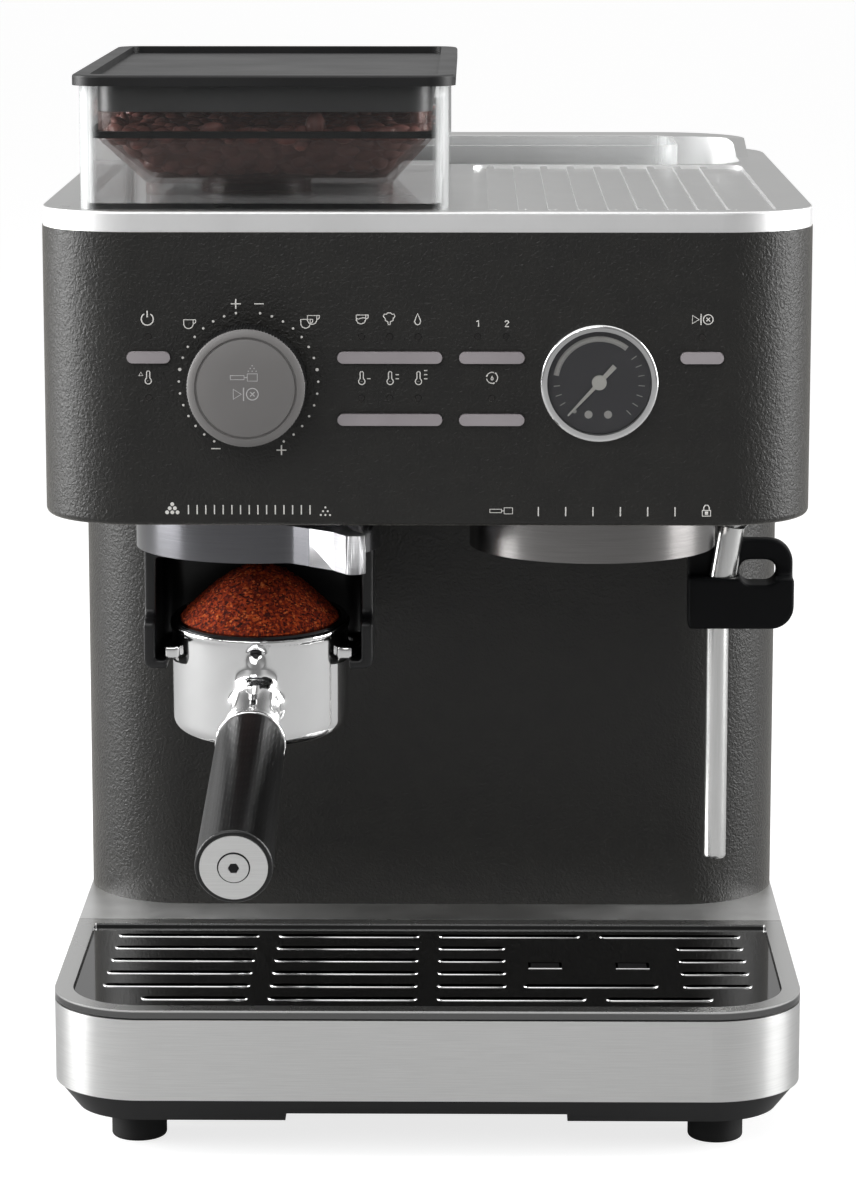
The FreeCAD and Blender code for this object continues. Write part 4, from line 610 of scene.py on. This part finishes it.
# Dose knob: ribbed skirt, grey face with a groove, pointer and its own signs
RIBS = 110
RIB_TOP, RIB_FOOT = 21.5, 21.05
SKIRT_RINGS = [(20.6, -2.6), (RIB_TOP, -3.2), (RIB_TOP, -18.4), (20.9, -18.9)]
FACE_RINGS = [(20.9, -18.0), (21.2, -18.4), (21.2, -18.9), (20.8, -19.3), (18.9, -19.9),
              (18.5, -19.9), (18.2, -19.2), (17.9, -19.2), (17.6, -19.8), (17.2, -19.95),
              (8.0, KNOB_FRONT)]
POINTER_Y = -18.55
POINTER = [(1.4, False, [(20.9, 1.6), (21.2, 1.6)])]
CRUMB_RADIUS = 0.22
CRUMBS = ((2.4, 8.3), (1.7, 7.3), (3.1, 7.3), (1.0, 6.3), (2.4, 6.3), (3.8, 6.3))

skirt = turned(SKIRT_RINGS, RIBS * 2)
for vertex in skirt.data.vertices:
    reach = math.hypot(vertex.co.x, vertex.co.z)
    turn = math.atan2(vertex.co.z, vertex.co.x) / (2 * math.pi) * RIBS
    if reach > (RIB_TOP - 0.1) * MM and round(turn * 2) % 2:
        vertex.co.x *= RIB_FOOT / RIB_TOP
        vertex.co.z *= RIB_FOOT / RIB_TOP
settle(skirt, KNOB_X, 0, KNOB_Z)
take_on(skirt, "knob_skirt", "dose_knob", "black_plastic", finishes["black_plastic"], "dose_knob")

face = turned(FACE_RINGS, 128)
smooth(face, 30)
settle(face, KNOB_X, 0, KNOB_Z)
take_on(face, "knob_face", "dose_knob", "grey_cap", knob_paint, "knob_cap")

print_signs("knob_pointer", moved(POINTER, KNOB_X, KNOB_Z, 1.0), [], POINTER_Y, "dose_knob",
            "white_needle", white_ink)
knob_signs = (moved(filter_sign, KNOB_X, KNOB_Z + 4.0, 1.05)
              + moved(start_sign, KNOB_X, KNOB_Z - 2.0, 1.2))
crumbs = [(KNOB_X + x, KNOB_Z + z, CRUMB_RADIUS) for x, z in CRUMBS]
print_signs("knob_signs", knob_signs, crumbs, KNOB_FRONT - PRINT_LIFT, "dose_knob", "grey_cap",
            pale_ink)


# Pieces grown from CAD nodes

def core_of(node_name, inset):
    """A merged copy of a CAD node, selected, drawn in by some mm, or out if below zero."""
    only(nodes[node_name])
    bpy.ops.object.duplicate()
    piece = bpy.context.object
    piece.parent = None
    for key in list(piece.keys()):
        del piece[key]
    bpy.ops.object.mode_set(mode="EDIT")
    bpy.ops.mesh.select_all(action="SELECT")
    bpy.ops.mesh.remove_doubles(threshold=MERGE)
    bpy.ops.transform.shrink_fatten(value=-inset * MM)
    bpy.ops.object.mode_set(mode="OBJECT")
    return piece


def reskin(piece, voxel):
    """Builds the active piece's surface anew from cubes of one size in mm."""
    skin = piece.modifiers.new("skin", "REMESH")
    skin.mode = "VOXEL"
    skin.voxel_size = voxel * MM
    bpy.ops.object.modifier_apply(modifier="skin")


def melt(piece, rounds, group=""):
    """Smooths the active piece's surface, or only a group of its vertices."""
    soft = piece.modifiers.new("melt", "SMOOTH")
    soft.vertex_group = group
    soft.factor = 0.5
    soft.iterations = rounds
    bpy.ops.object.modifier_apply(modifier="melt")


# Coffee: bean sizes in mm, counted from the bean's middle
BEAN_LENGTH, BEAN_WIDTH = 5.6, 3.9
BEAN_FLAT_SIDE, BEAN_ROUND_SIDE = 2.2, 3.4
BEAN_GAP = 6.4
BEAN_SUNK = 3.6
BEAN_LEAN = 0.35
BEAN_TRIES = 14000
SPOT_SEED, TURN_SEED = 11, 7


def surface_points(mesh, gap):
    """Points spread over a mesh no nearer than gap, each with its face's normal."""
    rng = random.Random(SPOT_SEED)
    faces = list(mesh.polygons)
    weights = [face.area for face in faces]
    kept = []
    for face in rng.choices(faces, weights=weights, k=BEAN_TRIES):
        a, b, c = (mesh.vertices[i].co for i in face.vertices[:3])
        u, v = sorted((rng.random(), rng.random()))
        spot = a * u + b * (v - u) + c * (1 - v)
        if all((spot - other).length > gap for other, _ in kept):
            kept.append((spot, face.normal.copy()))
    return kept


def bean_shape():
    """One bean: a flattened egg with a crease down its flat side."""
    crease_width, crease_height = 0.2, 0.4
    bpy.ops.object.select_all(action="DESELECT")
    bpy.ops.mesh.primitive_uv_sphere_add(segments=10, ring_count=6, radius=1.0,
                                         rotation=(0, math.pi / 2, 0))
    piece = bpy.context.object
    bpy.ops.object.transform_apply(location=True, rotation=True, scale=True)
    for vertex in piece.data.vertices:
        x, y, z = vertex.co
        if z > 0 and abs(y) < crease_width:
            z *= crease_height
        rise = BEAN_FLAT_SIDE if z > 0 else BEAN_ROUND_SIDE
        vertex.co = (x * BEAN_LENGTH * MM, y * BEAN_WIDTH * MM, z * rise * MM)
    bpy.ops.object.shade_smooth()
    return piece


def bean_pile():
    """Beans lying every way over the whole surface of the pile, with a core behind them."""
    rng = random.Random(TURN_SEED)
    core = core_of("coffee_beans", 3.0)
    model = bean_shape()
    copies = []
    for spot, normal in surface_points(nodes["coffee_beans"].data, BEAN_GAP * MM):
        mesh = model.data.copy()
        lean = Vector((rng.uniform(-BEAN_LEAN, BEAN_LEAN), rng.uniform(-BEAN_LEAN, BEAN_LEAN), 0))
        face_out = (normal + lean).normalized()
        turn = face_out.to_track_quat("Z", "Y").to_matrix().to_4x4()
        flip = Matrix.Rotation(math.pi if rng.random() < 0.5 else 0, 4, "X")
        spin = Matrix.Rotation(rng.uniform(0, 2 * math.pi), 4, "Z")
        sunk = Matrix.Translation(spot - normal * BEAN_SUNK * MM)
        mesh.transform(sunk @ turn @ spin @ flip @ Matrix.Scale(rng.uniform(0.85, 1.0), 4))
        copy = bpy.data.objects.new("bean", mesh)
        bpy.context.scene.collection.objects.link(copy)
        copies.append(copy)
    bpy.data.objects.remove(model)
    only(core)
    for copy in copies:
        copy.select_set(True)
    bpy.ops.object.join()
    take_on(core, "bean_pile", "hopper", "coffee_bean", finishes["coffee_bean"], "coffee_beans")


def ground_heap():
    """Grounds heaped over the basket, with a lumpy crust."""
    heap = core_of("ground_coffee", 0.5)
    reskin(heap, 0.7)
    lumps = bpy.data.textures.new("lumps", "CLOUDS")
    lumps.noise_scale = 1.7 * MM
    lumps.noise_depth = 3
    shake = heap.modifiers.new("grains", "DISPLACE")
    shake.texture = lumps
    shake.texture_coords = "LOCAL"
    shake.strength = 1.5 * MM
    shake.mid_level = 0.65
    bpy.ops.object.modifier_apply(modifier="grains")
    bpy.ops.object.shade_smooth()
    take_on(heap, "ground_heap", "portafilter", "ground_bean", finishes["ground_bean"],
            "ground_coffee")


bean_pile()
ground_heap()

# Mouldings and castings: the neck of the bowl is blended into its wall, sizes in mm
BLEND_ROUNDS = 14
NECK_HALF_WIDTH = 20.0
NECK_TOP = 24.0
NECK_ROOT = 1.0
HANDLE_CLEARANCE = 2.5

basket_low, basket_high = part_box("filter_basket")
basket_middle = (basket_low + basket_high) / 2
basket_radius = basket_high.x - basket_middle.x
handle_top_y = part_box("portafilter_handle")[1].y


def on_neck(spot):
    """Whether a point of the bowl is on the neck and boss at its front, or on their root."""
    across = spot.x - basket_middle.x
    out = basket_middle.y - spot.y
    beside = abs(across) < NECK_HALF_WIDTH * MM
    clear = math.hypot(across, out) > basket_radius - NECK_ROOT * MM
    short_of_handle = spot.y > handle_top_y + HANDLE_CLEARANCE * MM
    under = spot.z < basket_low.z + NECK_TOP * MM
    return out > 0 and beside and clear and short_of_handle and under


def softened(node_name, voxel, rounds, blended=None):
    """A CAD solid with its sharp edges melted round, and the blended points melted further."""
    piece = core_of(node_name, 0.0)
    reskin(piece, voxel)
    melt(piece, rounds)
    if blended:
        blend = piece.vertex_groups.new(name="blend")
        chosen = [vertex.index for vertex in piece.data.vertices if blended(vertex.co)]
        blend.add(chosen, 1.0, "REPLACE")
        melt(piece, rounds * BLEND_ROUNDS, "blend")
        piece.vertex_groups.clear()
    bpy.ops.object.shade_smooth()
    return piece


take_on(softened("steam_grip", 0.6, 14), "wand_grip", "steam_wand", "silicone",
        finishes["silicone"], "steam_grip")
take_on(softened("portafilter_bowl", 0.62, 6, on_neck), "cast_bowl", "portafilter", "chrome",
        finishes["chrome"], "portafilter_bowl")
take_on(softened("portafilter_cradle", 0.6, 6), "cradle_moulding", "machine", "black_plastic",
        finishes["black_plastic"], "portafilter_cradle")


# Small fittings, sizes in mm

def cap_screw():
    """The parting line of the screw head in the handle's cap, and a dark hex on the floor of its
    socket as painted shade.
    """
    line_radius, line_width, socket_radius, floor_depth = 5.4, 0.3, 1.85, 0.5
    bpy.ops.object.select_all(action="DESELECT")
    bpy.ops.mesh.primitive_torus_add(major_radius=line_radius * MM, minor_radius=line_width * MM,
                                     major_segments=64, minor_segments=8,
                                     rotation=(math.pi / 2, 0, 0))
    piece = bpy.context.object
    bpy.ops.object.transform_apply(location=True, rotation=True, scale=True)
    bpy.ops.object.mode_set(mode="EDIT")
    # Dark hex on the socket floor: painted shade in the hex socket
    bpy.ops.mesh.primitive_cylinder_add(vertices=6, radius=socket_radius * MM, depth=0.6 * MM,
                                        rotation=(math.pi / 2, math.pi / 6, 0))
    bpy.ops.object.mode_set(mode="OBJECT")
    slope = math.radians(HANDLE_SLOPE)
    along = Vector((0, -math.cos(slope), -math.sin(slope)))
    reach = max(vertex.co.dot(along) for vertex in nodes["handle_end_cap"].data.vertices)
    low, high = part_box("handle_end_cap")
    middle = (low + high) / 2
    face = middle + along * (reach - floor_depth * MM - middle.dot(along))
    piece.data.transform(Matrix.Translation(face) @ Matrix.Rotation(slope, 4, "X"))
    take_on(piece, "cap_screw", "portafilter", "polished_steel", blackened_steel_and_painted_shade)


def spring_clip():
    """The dark end of the basket's spring, showing in its slot under the lip."""
    bpy.ops.object.select_all(action="DESELECT")
    bpy.ops.mesh.primitive_cube_add(size=1.0)
    piece = bpy.context.object
    piece.scale = (4.4 * MM, 1.5 * MM, 1.8 * MM)
    bpy.ops.object.transform_apply(location=True, rotation=True, scale=True)
    bpy.ops.object.mode_set(mode="EDIT")
    bpy.ops.mesh.select_all(action="SELECT")
    bpy.ops.mesh.bevel(offset=0.6 * MM, segments=3)
    bpy.ops.object.mode_set(mode="OBJECT")
    smooth(piece, 60)
    settle(piece, KNOB_X, 36.55, 186.2)
    take_on(piece, "spring_clip", "portafilter", "polished_steel", blackened_steel_and_painted_shade)


def lever_highlight_pad():
    """Bright satin shell over the end of the grind lever, a painted highlight on the lever's end.
    """
    thickness, start_radius = 0.12, 56.0
    turn = math.radians(LEVER_TURN)
    out = Vector((math.sin(turn), -math.cos(turn), 0))
    pad = core_of("grind_adjust_ring", -thickness)
    bpy.ops.object.mode_set(mode="EDIT")
    bpy.ops.mesh.select_all(action="SELECT")
    bpy.ops.mesh.bisect(plane_co=place(KNOB_X, GRINDER_Y, 0) + out * start_radius * MM,
                        plane_no=out, use_fill=True, clear_inner=True)
    bpy.ops.object.mode_set(mode="OBJECT")
    smooth(pad, 30)
    take_on(pad, "lever_highlight_pad", "adjust_ring", "gunmetal", lever_highlight_metal)


def slot_fronts(level):
    """The front half of each drain slot's rim at a height, as points from left to right."""
    widest_slot = 12 * MM
    same_level = 0.05 * MM
    rim = bmesh.new()
    rim.from_mesh(nodes["drip_grille"].data)
    bmesh.ops.remove_doubles(rim, verts=rim.verts, dist=MERGE)
    bmesh.ops.dissolve_limit(rim, angle_limit=math.radians(0.5), verts=rim.verts, edges=rim.edges)
    linked = {}
    for edge in rim.edges:
        upright = [abs(face.normal.z) < 0.3 for face in edge.link_faces]
        if any(upright) and not all(upright):
            ends = [vertex.co.copy().freeze() for vertex in edge.verts]
            if all(abs(end.z - level) < same_level for end in ends):
                for here, there in (ends, ends[::-1]):
                    linked.setdefault(here, []).append(there)
    rim.free()
    fronts = []
    while linked:
        waiting = [next(iter(linked))]
        loop = set()
        while waiting:
            spot = waiting.pop()
            if spot not in loop:
                loop.add(spot)
                waiting += linked.pop(spot)
        front, back = min(p.y for p in loop), max(p.y for p in loop)
        if back - front < widest_slot:
            middle = (front + back) / 2
            fronts.append(sorted((p for p in loop if p.y < middle), key=lambda p: p.x))
    return fronts


def grille_lips():
    """The rolled lip along the front of each drain slot."""
    lip_radius = 0.45
    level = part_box("drip_grille")[1].z - GRILLE_RECESS * MM
    lines = [(1.0, False, front) for front in slot_fronts(level)]
    piece = tubes("grille_lips", lines, lip_radius * MM, 2)
    bpy.ops.object.shade_smooth()
    take_on(piece, "grille_lips", "drip_grille", "polished_steel", finishes["chrome"])


cap_screw()
spring_clip()
lever_highlight_pad()
grille_lips()


# Studio: pale floor, soft boxes, and a camera at the photograph's angle, in metres
IMAGE_HEIGHT = 1199
FOCAL_PIXELS = 4163
WHITE = (1, 1, 1, 1)
# Soft boxes: name, place, aim, width, height, watts
SOFT_BOXES = [
    ("key", (-1.0, -2.2, 2.0), (0, 0, 0.2), 2.6, 1.8, 31),
    ("left_box", (-1.55, 0.0, 0.6), (0, 0, 0.25), 0.95, 1.6, 38),
    ("right_box", (1.6, 0.0, 0.6), (0, 0, 0.25), 0.95, 1.6, 30),
    ("top", (0.0, 0.3, 2.0), (0, 0, 0.2), 2.0, 1.6, 10),
]


def seen_by(tree, *kinds):
    """1 for light paths of these kinds, else 0."""
    path = node(tree, "ShaderNodeLightPath")
    found = path.outputs[kinds[0]]
    for kind in kinds[1:]:
        found = node(tree, "ShaderNodeMath", {0: found, 1: path.outputs[kind]},
                     operation="MAXIMUM").outputs["Value"]
    return found


def studio_floor():
    """Matt grey paint that takes shadows, lifted to white where the camera sees it."""
    bpy.ops.mesh.primitive_plane_add(size=60.0)
    floor = bpy.context.object
    floor.name = "studio_floor"
    material, tree, shader = start("pale_floor_paint", Roughness=0.9, Emission_Color=WHITE,
                                   Base_Color=linear("#a8a8a8"))
    seen = seen_by(tree, "Is Camera Ray", "Is Transmission Ray")
    glow = node(tree, "ShaderNodeMath", {0: seen, 1: 0.78}, operation="MULTIPLY")
    tree.links.new(glow.outputs["Value"], shader.inputs["Emission Strength"])
    floor.data.materials.append(material)


def studio_world():
    """White all round as seen; in reflections bright at the sides and dim before and behind."""
    world = bpy.data.worlds.new("studio")
    world.use_nodes = True
    bpy.context.scene.world = world
    tree = world.node_tree
    way = node(tree, "ShaderNodeSeparateXYZ",
               {"Vector": node(tree, "ShaderNodeTexCoord").outputs["Generated"]})
    sides = node(tree, "ShaderNodeMapRange", {"Value": way.outputs["Y"], "From Min": -0.9,
                                              "From Max": 0.0, "To Min": 0.22, "To Max": 1.0},
                 interpolation_type="SMOOTHSTEP")
    behind = node(tree, "ShaderNodeMapRange", {"Value": way.outputs["Y"], "From Min": 0.3,
                                               "From Max": 1.0, "To Min": 0.0, "To Max": 0.45},
                  interpolation_type="SMOOTHSTEP")
    room = node(tree, "ShaderNodeMath", {0: sides.outputs["Result"], 1: behind.outputs["Result"]},
                operation="SUBTRACT")
    lit = node(tree, "ShaderNodeMix", {"Factor": seen_by(tree, "Is Glossy Ray"), "A": 0.4,
                                       "B": room.outputs["Value"]}, data_type="FLOAT")
    seen = seen_by(tree, "Is Camera Ray", "Is Transmission Ray")
    level = node(tree, "ShaderNodeMix", {"Factor": seen, "A": lit.outputs["Result"], "B": 1.0},
                 data_type="FLOAT")
    background = tree.nodes["Background"]
    background.inputs["Color"].default_value = WHITE
    tree.links.new(level.outputs["Result"], background.inputs["Strength"])


def soft_box(name, spot, aim, width, height, watts):
    """A rectangular area light turned towards its aim."""
    data = bpy.data.lights.new(name, "AREA")
    data.shape = "RECTANGLE"
    data.size = width
    data.size_y = height
    data.energy = watts
    lamp = bpy.data.objects.new(name, data)
    lamp.location = spot
    lamp.rotation_euler = (Vector(aim) - Vector(spot)).to_track_quat("-Z", "Y").to_euler()
    bpy.context.scene.collection.objects.link(lamp)


def studio_camera():
    """A long lens a little above the machine, looking slightly down and to the left."""
    data = bpy.data.cameras.new("camera")
    data.sensor_width = 36.0
    data.lens = FOCAL_PIXELS / IMAGE_HEIGHT * data.sensor_width
    camera = bpy.data.objects.new("camera", data)
    camera.location = place(16.1, -1500, 488)
    camera.rotation_euler = Vector((-0.0103, 1, -0.183)).to_track_quat("-Z", "Y").to_euler()
    bpy.context.scene.collection.objects.link(camera)
    bpy.context.scene.camera = camera


studio_floor()
studio_world()
for box in SOFT_BOXES:
    soft_box(*box)
studio_camera()
bpy.context.scene.view_settings.view_transform = "Standard"
